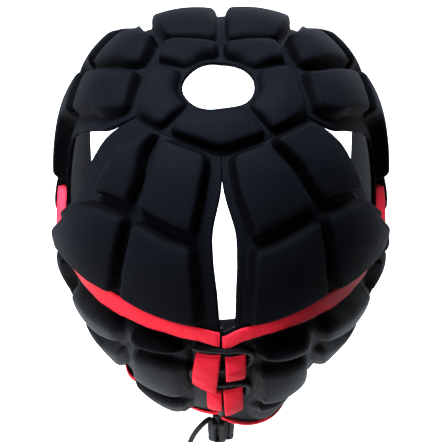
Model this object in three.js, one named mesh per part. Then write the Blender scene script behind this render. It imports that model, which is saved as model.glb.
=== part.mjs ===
// A rugby head guard: padded panels that fit round a head form, bound in red tape,
// laced at the nape and held by a chin strap. Millimetres, +Z up, the face looks along -Y,
// the wearer's left is +X. The origin is the top of the head, inside the crown.
import * as THREE from "three";

// Driving dimensions of the head that the guard is shaped on.
const HEAD = {
  halfWidth: 82,
  frontLength: 98,
  backLength: 97,
  crownHeight: 105, // from the widest level up to the crown
  frontPower: 2.9, // how square the brow is in plan
  backPower: 1.9,
  profilePower: 2.2,
  neckTaper: 0.2, // how much narrower the nape is
  neckTop: 40,
  neckHeight: 80,
};

// Padding: foam blocks in a knitted cover, pressed flat along the grooves and edges.
const PAD = {
  web: 2.6, // thickness of the flat webs and edges
  ringBlock: 8, // thickness at the middle of a block
  browBlock: 10,
  flapBlock: 11.2,
  sideBlock: 12.4,
  napeBlock: 11.5,
  earBlock: 9,
  shoulder: 0.84, // share of the rise that is reached at a block's shoulder
  groove: 1.4, // half the width of a groove
  slope: 3.2, // width of a block's sloping side
  joint: 0.8, // gap between neighbouring panels
};

const TAPE = { thickness: 1.2, ventThickness: 4.6, lift: 3.0 };
const LACE = { radius: 1.5, lift: 4.5, sides: 8 };
const LOOP = { thickness: 1.0, foot: 3.1, arch: 7.4 };
const STRAP = { width: 22, thickness: 2.2 };

const COLOURS = { cover: 0x1d2029, tape: 0xd8243d, lace: 0x131416, strap: 0x191b21 };

const DEGREE = Math.PI / 180;
const lerp = THREE.MathUtils.lerp;
const ease = (t) => THREE.MathUtils.smoothstep(t, 0, 1);

// The head form. turn is the angle round the head from the middle of the back towards the
// wearer's left, and drop is the angle down from the crown, both in degrees.
function headPoint(turn, drop) {
  const across = Math.sin(drop * DEGREE) * Math.sin(turn * DEGREE);
  const along = Math.sin(drop * DEGREE) * Math.cos(turn * DEGREE);
  const up = Math.cos(drop * DEGREE);
  const power = along > 0 ? HEAD.backPower : HEAD.frontPower;
  const length = along > 0 ? HEAD.backLength : HEAD.frontLength;
  const plan = Math.abs(across / HEAD.halfWidth) ** power + Math.abs(along / length) ** power;
  const level = plan ** (HEAD.profilePower / power) + Math.abs(up / HEAD.crownHeight) ** HEAD.profilePower;
  const reach = level ** (-1 / HEAD.profilePower);
  const point = new THREE.Vector3(across, along, up).multiplyScalar(reach);
  const low = ease((HEAD.neckTop - point.z) / HEAD.neckHeight);
  point.x *= 1 - HEAD.neckTaper * low * ease(point.y / HEAD.backLength);
  point.z -= HEAD.crownHeight;
  return point;
}

function headNormal(turn, drop) {
  const step = 0.2;
  const down = headPoint(turn, drop + step).sub(headPoint(turn, drop - step));
  const round = headPoint(turn + step, drop).sub(headPoint(turn - step, drop));
  const normal = down.cross(round).normalize();
  const outward = headPoint(turn, drop).setZ(headPoint(turn, drop).z + HEAD.crownHeight);
  return normal.dot(outward) < 0 ? normal.negate() : normal;
}

const skin = (turn, drop, lift) => headPoint(turn, drop).addScaledVector(headNormal(turn, drop), lift);

// A smooth line through the rows of a table with the columns turn and drop.
function lineThrough(table) {
  const points = table.map((row) => new THREE.Vector3(row.turn, row.drop, 0));
  const curve = new THREE.CatmullRomCurve3(points, false, "centripetal");
  return (t) => {
    const p = curve.getPoint(THREE.MathUtils.clamp(t, 0, 1));
    return { turn: p.x, drop: p.y };
  };
}

// The drop at any turn along a table, for the edges that two panels share.
function dropAlong(table) {
  const line = lineThrough(table);
  return (turn) => {
    let low = 0;
    let high = 1;
    for (let i = 0; i < 30; i++) {
      const middle = (low + high) / 2;
      if (line(middle).turn < turn) low = middle;
      else high = middle;
    }
    return line(low).drop;
  };
}

// The value of one column of a table at a value of another, straight between the rows.
function between(table, from, to, value) {
  const next = table.findIndex((row) => row[from] >= value);
  if (next === 0) return table[0][to];
  if (next < 0) return table[table.length - 1][to];
  const [a, b] = [table[next - 1], table[next]];
  return lerp(a[to], b[to], (value - a[from]) / (b[from] - a[from]));
}

// Shared edges. The ring's outer edge is the same on both sides of the head.
const ringEdge = dropAlong([
  { turn: -1, drop: 21.6 },
  { turn: 10, drop: 20.9 },
  { turn: 21, drop: 20.3 },
  { turn: 36, drop: 20.2 },
  { turn: 47, drop: 20.6 },
  { turn: 62, drop: 22.2 },
  { turn: 76, drop: 24 },
  { turn: 84, drop: 22.8 },
  { turn: 94, drop: 21.8 },
  { turn: 107, drop: 21.3 },
  { turn: 120, drop: 21 },
  { turn: 132, drop: 22.2 },
  { turn: 141, drop: 23.8 },
  { turn: 148, drop: 21 },
  { turn: 156, drop: 18.6 },
  { turn: 166, drop: 16.9 },
  { turn: 174, drop: 16.3 },
  { turn: 181, drop: 16.2 },
]);
const guardTop = dropAlong([
  { turn: 0, drop: 70 },
  { turn: 20, drop: 69.5 },
  { turn: 33, drop: 69.8 },
  { turn: 45, drop: 73.4 },
  { turn: 56, drop: 77.8 },
  { turn: 66, drop: 83.8 },
  { turn: 75, drop: 89.4 },
  { turn: 84, drop: 92 },
  { turn: 97, drop: 88 },
  { turn: 113, drop: 86 },
  { turn: 131, drop: 84 },
]);

const SLIT = {
  left: [
    { turn: -0.3, drop: 21.6 },
    { turn: -0.2, drop: 26 },
    { turn: 0.5, drop: 31 },
    { turn: 3.5, drop: 41 },
    { turn: 3.2, drop: 48 },
    { turn: 1.6, drop: 59 },
    { turn: 0.7, drop: 69.4 },
  ],
  right: [
    { turn: 0.4, drop: 21.6 },
    { turn: 0.7, drop: 26 },
    { turn: 1.8, drop: 31 },
    { turn: 6, drop: 41.5 },
    { turn: 6, drop: 49 },
    { turn: 5.2, drop: 58 },
    { turn: 4.5, drop: 69.4 },
  ],
};
const FLAP_OUTER = [
  { turn: 75.6, drop: 23.9 },
  { turn: 78, drop: 34.6 },
  { turn: 75.5, drop: 42 },
  { turn: 73, drop: 50 },
  { turn: 73, drop: 58 },
  { turn: 77, drop: 68 },
  { turn: 83, drop: 80 },
  { turn: 84.5, drop: 91.3 },
];
const SIDE_REAR = [
  { turn: 76.4, drop: 24 },
  { turn: 81.2, drop: 33.6 },
  { turn: 89, drop: 40.4 },
  { turn: 96, drop: 47.6 },
  { turn: 103, drop: 57 },
  { turn: 107, drop: 66 },
  { turn: 104.5, drop: 74 },
  { turn: 99, drop: 82 },
  { turn: 95.5, drop: 87.6 },
];
const BROW_SIDE = [
  { turn: 141, drop: 23.8 },
  { turn: 144.5, drop: 31 },
  { turn: 151, drop: 45 },
  { turn: 156, drop: 58 },
  { turn: 160.5, drop: 72 },
];
// The side panel's lower edge from the brow to the front corner of the ear guard.
const TEMPLE_EDGE = [
  { turn: 160.5, drop: 72 },
  { turn: 146, drop: 78 },
  { turn: 131, drop: 83.2 },
];
const NAPE_RIM = [
  { turn: 0.6, drop: 122.6 },
  { turn: 14, drop: 124.2 },
  { turn: 27, drop: 123 },
  { turn: 39, drop: 119.5 },
  { turn: 52, drop: 119 },
  { turn: 66, drop: 121.2 },
];
const NAPE = { start: 0.6, end: 66, bindingStart: 0.05, bindingEnd: 0.985 };
// The lower rim stands off the neck in one place on each side, by shares of its length.
const RIM_FLARE = {
  left: { reach: 3.4, sag: 0, start: 0.42, width: 0.34 },
  right: { reach: 9.5, sag: 4.2, start: 0.03, width: 0.52 },
};

// How the panels are divided into blocks: columns and rows are the grooves, as shares of a
// panel's width and height, and the hems are its flat edges in mm.
const CELLS = {
  ring: { cornerTurns: [-120, -40, 47, 120], holeHem: 1.8 },
  brow: { column: 0.5, rows: [0.56, 0.8], lowerHem: 4 },
  side: { column: 0.45, rows: [0.45], frontHem: 5, ringHem: 4, lowerHem: 3 },
  flap: { column: 0.46, rows: [0.52], lowerHem: 1.5 },
  nape: { column: 0.47, rows: [0.35, 0.7], laceHem: 16, outerHem: 3, rimHem: 3.8 },
  ear: { spokes: 6, holeHem: 2, rimHem: 10.5 },
};
// Hems whose width changes along them. The nape's is drawn before its creases slant.
const NAPE_TAPE_HEM = [
  { along: 0, width: 19.5 },
  { along: 0.26, width: 18 },
  { along: 0.39, width: 17 },
  { along: 0.55, width: 13.5 },
  { along: 0.7, width: 11 },
  { along: 1, width: 8.5 },
];
const SIDE_REAR_HEM = [
  { along: 0, width: 2.5 },
  { along: 0.1, width: 5 },
  { along: 0.25, width: 8 },
  { along: 0.45, width: 9.5 },
  { along: 1, width: 9 },
];
const SLIT_HEM = {
  left: [
    { along: 0, width: 5 },
    { along: 0.3, width: 7 },
    { along: 1, width: 8 },
  ],
  right: [
    { along: 0, width: 3 },
    { along: 0.52, width: 6 },
    { along: 0.63, width: 4.8 },
    { along: 1, width: 4.3 },
  ],
};
const FLAP_OUTER_HEM = {
  left: [
    { along: 0, width: 16 },
    { along: 0.5, width: 22 },
    { along: 0.58, width: 12 },
    { along: 1, width: 8 },
  ],
  right: [
    { along: 0, width: 6 },
    { along: 0.5, width: 10 },
    { along: 1, width: 8 },
  ],
};
// Share of a block's height that is left where blocks are thinner, and the share of the
// panel's width or height over which the full height comes back.
const THINNING = {
  ringHole: { left: 0.5, reach: 0.55 },
  browTop: { left: 0.6, reach: 0.35 },
  sideUpperRow: { left: 0.76 },
  templeCorner: { left: 0.25, acrossEnd: 0.24, acrossReach: 0.18, downEnd: 0.95, downReach: 0.3 },
  napeFoot: { left: 0.9, right: 0.45, acrossEnd: 0.62, acrossReach: 0.1, downStart: 0.72, downReach: 0.1 },
};
// Where a column groove lies across its panel, as a share of the width, going down the panel.
const SIDE_GROOVE = [
  { down: 0, across: 0.435 },
  { down: 0.2, across: 0.45 },
  { down: 0.45, across: 0.5 },
  { down: 1, across: 0.5 },
];
const FLAP_GROOVE = {
  left: [
    { down: 0, across: 0.595 },
    { down: 0.285, across: 0.515 },
    { down: 0.5, across: 0.48 },
    { down: 0.7, across: 0.427 },
    { down: 0.87, across: 0.39 },
    { down: 1, across: 0.385 },
  ],
  right: [
    { down: 0, across: 0.43 },
    { down: 0.26, across: 0.508 },
    { down: 0.5, across: 0.532 },
    { down: 0.675, across: 0.465 },
    { down: 0.84, across: 0.398 },
    { down: 1, across: 0.382 },
  ],
};
const NAPE_GROOVE = [
  { down: 0, across: 0.42 },
  { down: 0.35, across: 0.46 },
  { down: 0.7, across: 0.56 },
  { down: 1, across: 0.6 },
];
// Where a row groove lies down its panel, as a share of the height, going across the panel.
const SIDE_CREASE = [
  { across: 0, down: 0.08 },
  { across: 0.06, down: 0.14 },
  { across: 0.12, down: 0.34 },
  { across: 0.2, down: 0.5 },
  { across: 0.45, down: 0.5 },
  { across: 1, down: 0.47 },
];
const FLAP_CREASE = [
  { across: 0, down: 0.58 },
  { across: 0.1, down: 0.57 },
  { across: 0.25, down: 0.554 },
  { across: 0.39, down: 0.528 },
  { across: 0.51, down: 0.495 },
  { across: 0.67, down: 0.467 },
  { across: 0.87, down: 0.47 },
  { across: 1, down: 0.47 },
];
// The nape's two creases on each side fan out from the lacing.
const NAPE_CREASES = {
  left: [
    [
      { across: 0, down: 0.2 },
      { across: 0.26, down: 0.24 },
      { across: 0.39, down: 0.31 },
      { across: 0.55, down: 0.47 },
      { across: 0.7, down: 0.62 },
      { across: 1, down: 0.78 },
    ],
    [
      { across: 0, down: 0.63 },
      { across: 0.18, down: 0.66 },
      { across: 0.4, down: 0.77 },
      { across: 0.6, down: 0.89 },
      { across: 1, down: 0.93 },
    ],
  ],
  right: [
    [
      { across: 0, down: 0.22 },
      { across: 0.17, down: 0.24 },
      { across: 0.39, down: 0.35 },
      { across: 0.55, down: 0.47 },
      { across: 0.79, down: 0.69 },
      { across: 1, down: 0.78 },
    ],
    [
      { across: 0, down: 0.62 },
      { across: 0.19, down: 0.66 },
      { across: 0.4, down: 0.84 },
      { across: 0.55, down: 0.89 },
      { across: 1, down: 0.93 },
    ],
  ],
};
// Width of the red tape round the head.
const TAPE_WIDTHS = {
  left: [
    { turn: 0.5, width: 9 },
    { turn: 16, width: 8.5 },
    { turn: 34, width: 13.5 },
    { turn: 54, width: 14.5 },
    { turn: 64, width: 2.8 },
    { turn: 104, width: 2.8 },
  ],
  right: [
    { turn: 0.5, width: 9.5 },
    { turn: 13, width: 7 },
    { turn: 30, width: 11.5 },
    { turn: 52, width: 13.5 },
    { turn: 64, width: 2.8 },
    { turn: 104, width: 2.8 },
  ],
};
const wordFor = (side) => (side > 0 ? "left" : "right");
// The ear guard's edge below its top, from the front corner round to the back corner.
const EAR_EDGE = [
  { turn: 129, drop: 97 },
  { turn: 123, drop: 114 },
  { turn: 110, drop: 126.5 },
  { turn: 92, drop: 128.5 },
  { turn: 78, drop: 125.5 },
  { turn: 67.2, drop: 121 },
  { turn: 66.8, drop: 104 },
];
const EAR_TOP_TURNS = [66.8, 75, 84, 91, 97, 105, 113, 121, 129];
const EAR_HOLE = { turn: 97, drop: 107.5, halfTurn: 10.5, halfDrop: 8 };
const CROWN_HOLE = { sideDrop: 9.6, lengthDrop: 8.1 };

// Closed surface from an outer and an inner grid of points, rows of equal length.
// A grid that runs all the way round has its first column again as its last.
function closeGrids(outer, inner, runsRound) {
  const rows = outer.length;
  const columns = outer[0].length - (runsRound ? 1 : 0);
  const points = [...outer, ...inner].flatMap((row) => row.slice(0, columns));
  const positions = points.flatMap((p) => [p.x, p.y, p.z]);
  const index = [];
  const number = (layer, r, c) => (layer * rows + r) * columns + (c % columns);
  const quad = (a, b, c, d) => index.push(a, b, c, a, c, d);
  const spans = runsRound ? columns : columns - 1;
  for (let r = 0; r + 1 < rows; r++) {
    for (let c = 0; c < spans; c++) {
      quad(number(0, r, c), number(0, r, c + 1), number(0, r + 1, c + 1), number(0, r + 1, c));
      quad(number(1, r, c), number(1, r + 1, c), number(1, r + 1, c + 1), number(1, r, c + 1));
    }
  }
  for (let c = 0; c < spans; c++) {
    quad(number(0, 0, c), number(1, 0, c), number(1, 0, c + 1), number(0, 0, c + 1));
    const last = rows - 1;
    quad(number(0, last, c), number(0, last, c + 1), number(1, last, c + 1), number(1, last, c));
  }
  if (!runsRound) {
    for (let r = 0; r + 1 < rows; r++) {
      quad(number(0, r, 0), number(0, r + 1, 0), number(1, r + 1, 0), number(1, r, 0));
      quad(number(0, r, spans), number(1, r, spans), number(1, r + 1, spans), number(0, r + 1, spans));
    }
  }
  return facingOut(positions, index);
}

// Turns every face round where the volume comes out negative.
function facingOut(positions, index) {
  const corner = (i) => new THREE.Vector3().fromArray(positions, i * 3);
  let volume = 0;
  for (let i = 0; i < index.length; i += 3) {
    volume += corner(index[i]).dot(corner(index[i + 1]).cross(corner(index[i + 2])));
  }
  if (volume < 0) index.reverse();
  const geometry = new THREE.BufferGeometry();
  geometry.setAttribute("position", new THREE.Float32BufferAttribute(positions, 3));
  geometry.setIndex(index);
  geometry.computeVertexNormals();
  return geometry;
}

// Where to sample one direction of a panel: places from 0 to 1, and the share of the full
// rise at each. divisions are the grooves, margins the flat edges in mm, length the run in mm.
function reliefSamples(divisions, margins, length, tops) {
  const borders = [0, ...divisions, 1];
  const samples = [];
  for (let i = 0; i + 1 < borders.length; i++) {
    const before = (i === 0 ? margins[0] : PAD.groove) / length;
    const after = (i + 2 === borders.length ? margins[1] : PAD.groove) / length;
    const start = borders[i] + before;
    const end = borders[i + 1] - after;
    const slope = Math.min(PAD.slope / length, (end - start) * 0.35);
    if (i === 0 && before > 0) samples.push({ place: 0, rise: 0 });
    samples.push({ place: start, rise: 0 });
    for (let k = 0; k <= tops; k++) {
      const share = k / tops;
      const rise = lerp(PAD.shoulder, 1, Math.sin(share * Math.PI));
      samples.push({ place: lerp(start + slope, end - slope, share), rise });
    }
    samples.push({ place: end, rise: 0 });
    if (i + 2 === borders.length && after > 0) samples.push({ place: 1, rise: 0 });
  }
  return samples;
}

function runLength(at, along, middle = 0.5) {
  let length = 0;
  const steps = 24;
  for (let i = 0; i < steps; i++) {
    const [a, b] = [i / steps, (i + 1) / steps].map((t) => (along === "u" ? at(t, middle) : at(middle, t)));
    length += headPoint(a.turn, a.drop).distanceTo(headPoint(b.turn, b.drop));
  }
  return length;
}

// A hem's width at a share of its length: one width, or a table of widths.
const hemAt = (hem, share) => (typeof hem === "number" ? hem : between(hem, "along", "width", share));

// A padded panel. at(u, v) gives the turn and drop, u runs across its columns of blocks and
// v down its rows. thin(u, v) is the share of a block's height that is left, and stand(u, v)
// how far the whole wall stands off the head.
function paddedPanel({ at, columns, rows, sideMargins, endMargins, ...plan }) {
  const { runsRound = false, tops = [2, 2], block, thin = () => 1, stand = () => 0 } = plan;
  const hemsChange = endMargins.some(Array.isArray);
  const downSamples = (u) => {
    const margins = endMargins.map((hem) => hemAt(hem, u));
    return reliefSamples(rows, margins, runLength(at, "v", hemsChange ? u : 0.5), tops[1]);
  };
  const acrossSamples = (v) => {
    const margins = sideMargins.map((hem) => hemAt(hem, v));
    return reliefSamples(columns, margins, runLength(at, "u", v), tops[0]);
  };
  const layer = (isOuter) =>
    downSamples(0.5).map((middle, row) =>
      acrossSamples(middle.place).map((across) => {
        const u = across.place;
        const down = downSamples(u)[row];
        const v = down.place;
        const { turn, drop } = at(u, v);
        const rise = (block - PAD.web) * thin(u, v) * across.rise * down.rise;
        return skin(turn, drop, stand(u, v) + (isOuter ? PAD.web + rise : 0));
      }),
    );
  return closeGrids(layer(true), layer(false), runsRound);
}

// The patch between four edges, each a function of 0 to 1: a Coons patch in turn and drop.
function patch(top, bottom, near, far) {
  const corners = { a: top(0), b: top(1), c: bottom(0), d: bottom(1) };
  const blend = (key) => (u, v) =>
    lerp(top(u)[key], bottom(u)[key], v) +
    lerp(near(v)[key], far(v)[key], u) -
    lerp(lerp(corners.a[key], corners.b[key], u), lerp(corners.c[key], corners.d[key], u), v);
  return (u, v) => ({ turn: blend("turn")(u, v), drop: blend("drop")(u, v) });
}

// Pulls a patch in from its edges by the joint gap, all round.
function pulledIn(at, gap = PAD.joint) {
  const across = gap / 2 / runLength(at, "u");
  const down = gap / 2 / runLength(at, "v");
  return (u, v) => at(lerp(across, 1 - across, u), lerp(down, 1 - down, v));
}

// Moves a column groove, which is drawn at one share of the width, along a table.
function columnShift(u, v, column, table) {
  const groove = between(table, "down", "across", v);
  return u < column ? (u / column) * groove : lerp(groove, 1, (u - column) / (1 - column));
}
function wandering(at, column, table) {
  return (u, v) => at(columnShift(u, v, column, table), v);
}

// Moves row grooves, which are drawn at fixed shares of the height, each along its own table.
function slanting(at, rows, tables) {
  const marks = [0, ...rows, 1];
  return (u, v) => {
    const grooves = [0, ...tables.map((table) => between(table, "across", "down", u)), 1];
    const next = Math.max(1, marks.findIndex((mark) => mark >= v));
    const share = (v - marks[next - 1]) / (marks[next] - marks[next - 1]);
    return at(u, lerp(grooves[next - 1], grooves[next], share));
  };
}

const mirrored = (at, side) => (u, v) => {
  const { turn, drop } = at(u, v);
  return { turn: turn * side, drop };
};

// A flat strip with a rectangular section: each row gives its two edges at the lower face.
function stripSolid(rows) {
  return closeGrids(
    rows.map((row) => [row.upperA, row.upperB]),
    rows.map((row) => [row.lowerA, row.lowerB]),
    false,
  );
}

// A strip that lies on the head form between two lines of turn and drop.
function tapeOnHead(lineA, lineB, lifts, thickness, steps, side) {
  const rows = [];
  for (let i = 0; i <= steps; i++) {
    const t = i / steps;
    const [a, b] = [lineA(t), lineB(t)];
    const lift = lifts(t);
    rows.push({
      lowerA: skin(a.turn * side, a.drop, lift),
      lowerB: skin(b.turn * side, b.drop, lift),
      upperA: skin(a.turn * side, a.drop, lift + thickness(t)),
      upperB: skin(b.turn * side, b.drop, lift + thickness(t)),
    });
  }
  return stripSolid(rows);
}

function ringCells() {
  const around = (u) => lerp(-180, 180, u);
  const at = (u, v) => {
    const turn = around(u);
    const hole = lerp(CROWN_HOLE.lengthDrop, CROWN_HOLE.sideDrop, Math.abs(Math.sin(turn * DEGREE)));
    return { turn, drop: lerp(hole, ringEdge(Math.abs(turn)) - 0.3, v) };
  };
  return paddedPanel({
    at,
    columns: CELLS.ring.cornerTurns.map((turn) => (turn + 180) / 360),
    rows: [],
    sideMargins: [PAD.groove, PAD.groove],
    endMargins: [CELLS.ring.holeHem, PAD.groove],
    runsRound: true,
    tops: [4, 2],
    block: PAD.ringBlock,
    thin: (u, v) => lerp(THINNING.ringHole.left, 1, ease(v / THINNING.ringHole.reach)),
  });
}

function browPanel() {
  const leftSide = lineThrough(BROW_SIDE);
  const rightSide = (v) => ({ turn: 360 - leftSide(v).turn, drop: leftSide(v).drop });
  const top = (u) => {
    const turn = lerp(leftSide(0).turn, rightSide(0).turn, u);
    return { turn, drop: ringEdge(turn > 180 ? 360 - turn : turn) };
  };
  const bottom = (u) => ({ turn: lerp(leftSide(1).turn, rightSide(1).turn, u), drop: leftSide(1).drop });
  return paddedPanel({
    at: pulledIn(patch(top, bottom, leftSide, rightSide)),
    columns: [CELLS.brow.column],
    rows: CELLS.brow.rows,
    sideMargins: [PAD.groove, PAD.groove],
    endMargins: [PAD.groove, CELLS.brow.lowerHem],
    block: PAD.browBlock,
    thin: (u, v) => lerp(THINNING.browTop.left, 1, ease(v / THINNING.browTop.reach)),
  });
}

function sidePanel(side) {
  const { column, rows, frontHem, ringHem, lowerHem } = CELLS.side;
  const front = lineThrough(BROW_SIDE);
  const rear = lineThrough(SIDE_REAR);
  const temple = lineThrough(TEMPLE_EDGE);
  const top = (u) => {
    const turn = lerp(front(0).turn, rear(0).turn, u);
    return { turn, drop: ringEdge(turn) };
  };
  const earEdge = (t) => {
    const turn = lerp(temple(1).turn, rear(1).turn, t);
    return { turn, drop: guardTop(turn) - 0.6 };
  };
  const bottom = (u) => (u < column ? temple(u / column) : earEdge((u - column) / (1 - column)));
  const creased = slanting(patch(top, bottom, front, rear), rows, [SIDE_CREASE]);
  const at = wandering(creased, column, SIDE_GROOVE);
  const { left, acrossEnd, acrossReach, downEnd, downReach } = THINNING.templeCorner;
  const corner = (u, v) => ease((acrossEnd - u) / acrossReach) * ease((downEnd - v) / downReach);
  const upperRow = THINNING.sideUpperRow.left;
  return paddedPanel({
    at: mirrored(pulledIn(at), side),
    columns: [column],
    rows,
    sideMargins: [frontHem, SIDE_REAR_HEM],
    endMargins: [ringHem, lowerHem],
    tops: [2, 3],
    block: PAD.sideBlock,
    thin: (u, v) => (v < rows[0] ? upperRow : lerp(1, left, corner(u, v))),
  });
}

function rearFlap(side) {
  const word = wordFor(side);
  const slit = lineThrough(SLIT[word]);
  const outer = lineThrough(FLAP_OUTER);
  const top = (u) => {
    const turn = lerp(slit(0).turn, outer(0).turn, u);
    return { turn, drop: lerp(slit(0).drop, ringEdge(turn), Math.min(1, u * 8)) };
  };
  const bottom = (u) => {
    const turn = lerp(slit(1).turn, outer(1).turn, u);
    return { turn, drop: guardTop(turn) - 0.6 };
  };
  const { column, rows, lowerHem } = CELLS.flap;
  const creased = slanting(patch(top, bottom, slit, outer), rows, [FLAP_CREASE]);
  return paddedPanel({
    at: mirrored(pulledIn(wandering(creased, column, FLAP_GROOVE[word])), side),
    columns: [column],
    rows,
    sideMargins: [SLIT_HEM[word], FLAP_OUTER_HEM[word]],
    endMargins: [PAD.groove, lowerHem],
    tops: [2, 3],
    block: PAD.flapBlock,
  });
}

// How much of the flare the rim has at a share of its length from the lacing.
const flareAt = (side, u) => {
  const { start, width } = RIM_FLARE[wordFor(side)];
  const share = THREE.MathUtils.clamp((u - start) / width, 0, 1);
  return Math.sin(share * Math.PI) ** 2;
};
const napeRim = (side) => {
  const line = lineThrough(NAPE_RIM);
  const { sag } = RIM_FLARE[wordFor(side)];
  return (u) => ({ turn: line(u).turn, drop: line(u).drop + sag * flareAt(side, u) });
};

function napeGuard(side) {
  const { column, rows, laceHem, outerHem, rimHem } = CELLS.nape;
  const word = wordFor(side);
  const rim = napeRim(side);
  const top = (u) => {
    const turn = lerp(NAPE.start, NAPE.end, u);
    return { turn, drop: guardTop(turn) };
  };
  const inner = (v) => ({ turn: NAPE.start, drop: lerp(top(0).drop, rim(0).drop, v) });
  const outer = (v) => ({ turn: NAPE.end, drop: lerp(top(1).drop, rim(1).drop, v) });
  const creased = slanting(patch(top, rim, inner, outer), rows, NAPE_CREASES[word]);
  const { [word]: left, acrossEnd, acrossReach, downStart, downReach } = THINNING.napeFoot;
  const foot = (u, v) => ease((v - downStart) / downReach) * ease((acrossEnd - u) / acrossReach);
  const along = (u, v) => columnShift(u, v, column, NAPE_GROOVE);
  return paddedPanel({
    at: mirrored(pulledIn(wandering(creased, column, NAPE_GROOVE)), side),
    columns: [column],
    rows,
    sideMargins: [laceHem, outerHem],
    endMargins: [NAPE_TAPE_HEM, rimHem],
    tops: [3, 3],
    block: PAD.napeBlock,
    thin: (u, v) => lerp(1, left, foot(u, v)),
    stand: (u, v) => RIM_FLARE[word].reach * flareAt(side, along(u, v)) * v ** 6,
  });
}

function earGuard(side) {
  const edge = new THREE.CatmullRomCurve3(
    [
      ...EAR_TOP_TURNS.map((turn) => ({ turn, drop: guardTop(turn) + 0.4 })),
      ...EAR_EDGE,
    ].map((row) => new THREE.Vector3(row.turn, row.drop, 0)),
    true,
    "centripetal",
  );
  const at = (u, v) => {
    const rim = edge.getPointAt(u === 1 ? 0 : u);
    const [round, down] = [rim.x - EAR_HOLE.turn, rim.y - EAR_HOLE.drop];
    const angle = Math.atan2(down / EAR_HOLE.halfDrop, round / EAR_HOLE.halfTurn);
    const hole = {
      turn: EAR_HOLE.turn + EAR_HOLE.halfTurn * Math.cos(angle),
      drop: EAR_HOLE.drop + EAR_HOLE.halfDrop * Math.sin(angle),
    };
    return { turn: lerp(hole.turn, rim.x, v), drop: lerp(hole.drop, rim.y, v) };
  };
  return paddedPanel({
    at: mirrored(at, side),
    columns: Array.from({ length: CELLS.ear.spokes - 1 }, (_, i) => (i + 1) / CELLS.ear.spokes),
    rows: [],
    sideMargins: [PAD.groove, PAD.groove],
    endMargins: [CELLS.ear.holeHem, CELLS.ear.rimHem],
    runsRound: true,
    block: PAD.earBlock,
  });
}

// Degrees of drop that cover a length down the head, at the back.
const dropFor = (length) => length / (HEAD.backLength * DEGREE);

// The red tape along the top of the guard, from the slit to the vent behind the side panel.
function bandTape(side) {
  const turnAt = (t) => lerp(0.5, 104, t);
  const widthAt = (t) => between(TAPE_WIDTHS[wordFor(side)], "turn", "width", turnAt(t));
  const thickness = (t) => lerp(TAPE.thickness, TAPE.ventThickness, ease((turnAt(t) - 66) / 14));
  const upper = (t) => ({ turn: turnAt(t), drop: guardTop(turnAt(t)) + 0.5 });
  const lower = (t) => ({ turn: turnAt(t), drop: guardTop(turnAt(t)) + 0.5 + dropFor(widthAt(t)) });
  return tapeOnHead(upper, lower, () => TAPE.lift, thickness, 30, side);
}

// The red binding that wraps the lower rim of the nape: a rounded bead round the edge.
function napeBinding(side) {
  const rim = napeRim(side);
  const section = [
    { drop: 1.1, lift: 0.2 },
    { drop: 1.1, lift: PAD.web + 1.8 },
    { drop: -0.7, lift: PAD.web + 1.8 },
    { drop: -0.7, lift: PAD.web + 2.5 },
    { drop: 0.4, lift: PAD.web + 2.9 },
    { drop: 2.3, lift: PAD.web + 1.6 },
    { drop: 2.2, lift: 0.6 },
  ];
  const steps = 24;
  const rings = [];
  for (let i = 0; i <= steps; i++) {
    const t = lerp(NAPE.bindingStart, NAPE.bindingEnd, i / steps);
    const p = rim(t);
    const stand = RIM_FLARE[wordFor(side)].reach * flareAt(side, t);
    rings.push(section.map(({ drop, lift }) => skin(p.turn * side, p.drop + drop, lift + stand)));
  }
  return sweptSection(rings);
}

// A closed solid through rings of points of equal count, with flat ends.
function sweptSection(rings) {
  const count = rings[0].length;
  const positions = rings.flat().flatMap((p) => [p.x, p.y, p.z]);
  const index = [];
  for (let r = 0; r + 1 < rings.length; r++) {
    for (let k = 0; k < count; k++) {
      const a = r * count + k;
      const b = r * count + ((k + 1) % count);
      index.push(a, b, b + count, a, b + count, a + count);
    }
  }
  const outline = (ring) => flattened(ring);
  const last = (rings.length - 1) * count;
  THREE.ShapeUtils.triangulateShape(outline(rings[0]), []).forEach(([a, b, c]) => index.push(a, c, b));
  const farEnd = THREE.ShapeUtils.triangulateShape(outline(rings[rings.length - 1]), []);
  farEnd.forEach(([a, b, c]) => index.push(last + a, last + b, last + c));
  return facingOut(positions, index);
}

// A ring of points seen along its own normal, so that its end can be triangulated.
function flattened(ring) {
  const middle = ring.reduce((sum, p) => sum.add(p), new THREE.Vector3()).divideScalar(ring.length);
  const normal = new THREE.Vector3();
  ring.forEach((p, i) => {
    const next = ring[(i + 1) % ring.length];
    normal.add(p.clone().sub(middle).cross(next.clone().sub(middle)));
  });
  normal.normalize();
  const right = ring[0].clone().sub(middle).normalize();
  const up = normal.clone().cross(right);
  const arms = ring.map((p) => p.clone().sub(middle));
  return arms.map((arm) => new THREE.Vector2(arm.dot(right), arm.dot(up)));
}

// A ribbon loop sewn down at its upper and lower ends, arched so that the lace passes under.
function laceLoop({ side, nearTurn, farTurn, top, foot, lean }) {
  const steps = 8;
  const arch = (t) => lerp(LOOP.foot, LOOP.arch, Math.sin(t * Math.PI) ** 0.6);
  const edge = (turn) => (t) => ({ turn: turn - lean * t, drop: lerp(top, foot, t) });
  return tapeOnHead(edge(nearTurn), edge(farTurn), arch, () => LOOP.thickness, steps, side);
}

const LOOPS = [
  { name: "lace_loop_upper_left", side: 1, nearTurn: 1.2, farTurn: 7.2, top: 80, foot: 92.2, lean: 0 },
  { name: "lace_loop_upper_right", side: -1, nearTurn: 1.2, farTurn: 7.2, top: 80.6, foot: 92, lean: 0 },
  { name: "lace_loop_lower_left", side: 1, nearTurn: 1.3, farTurn: 5.8, top: 98.4, foot: 112, lean: 0 },
  { name: "lace_loop_lower_right", side: -1, nearTurn: 1.4, farTurn: 7.3, top: 98.6, foot: 116, lean: -0.6 },
];

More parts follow.
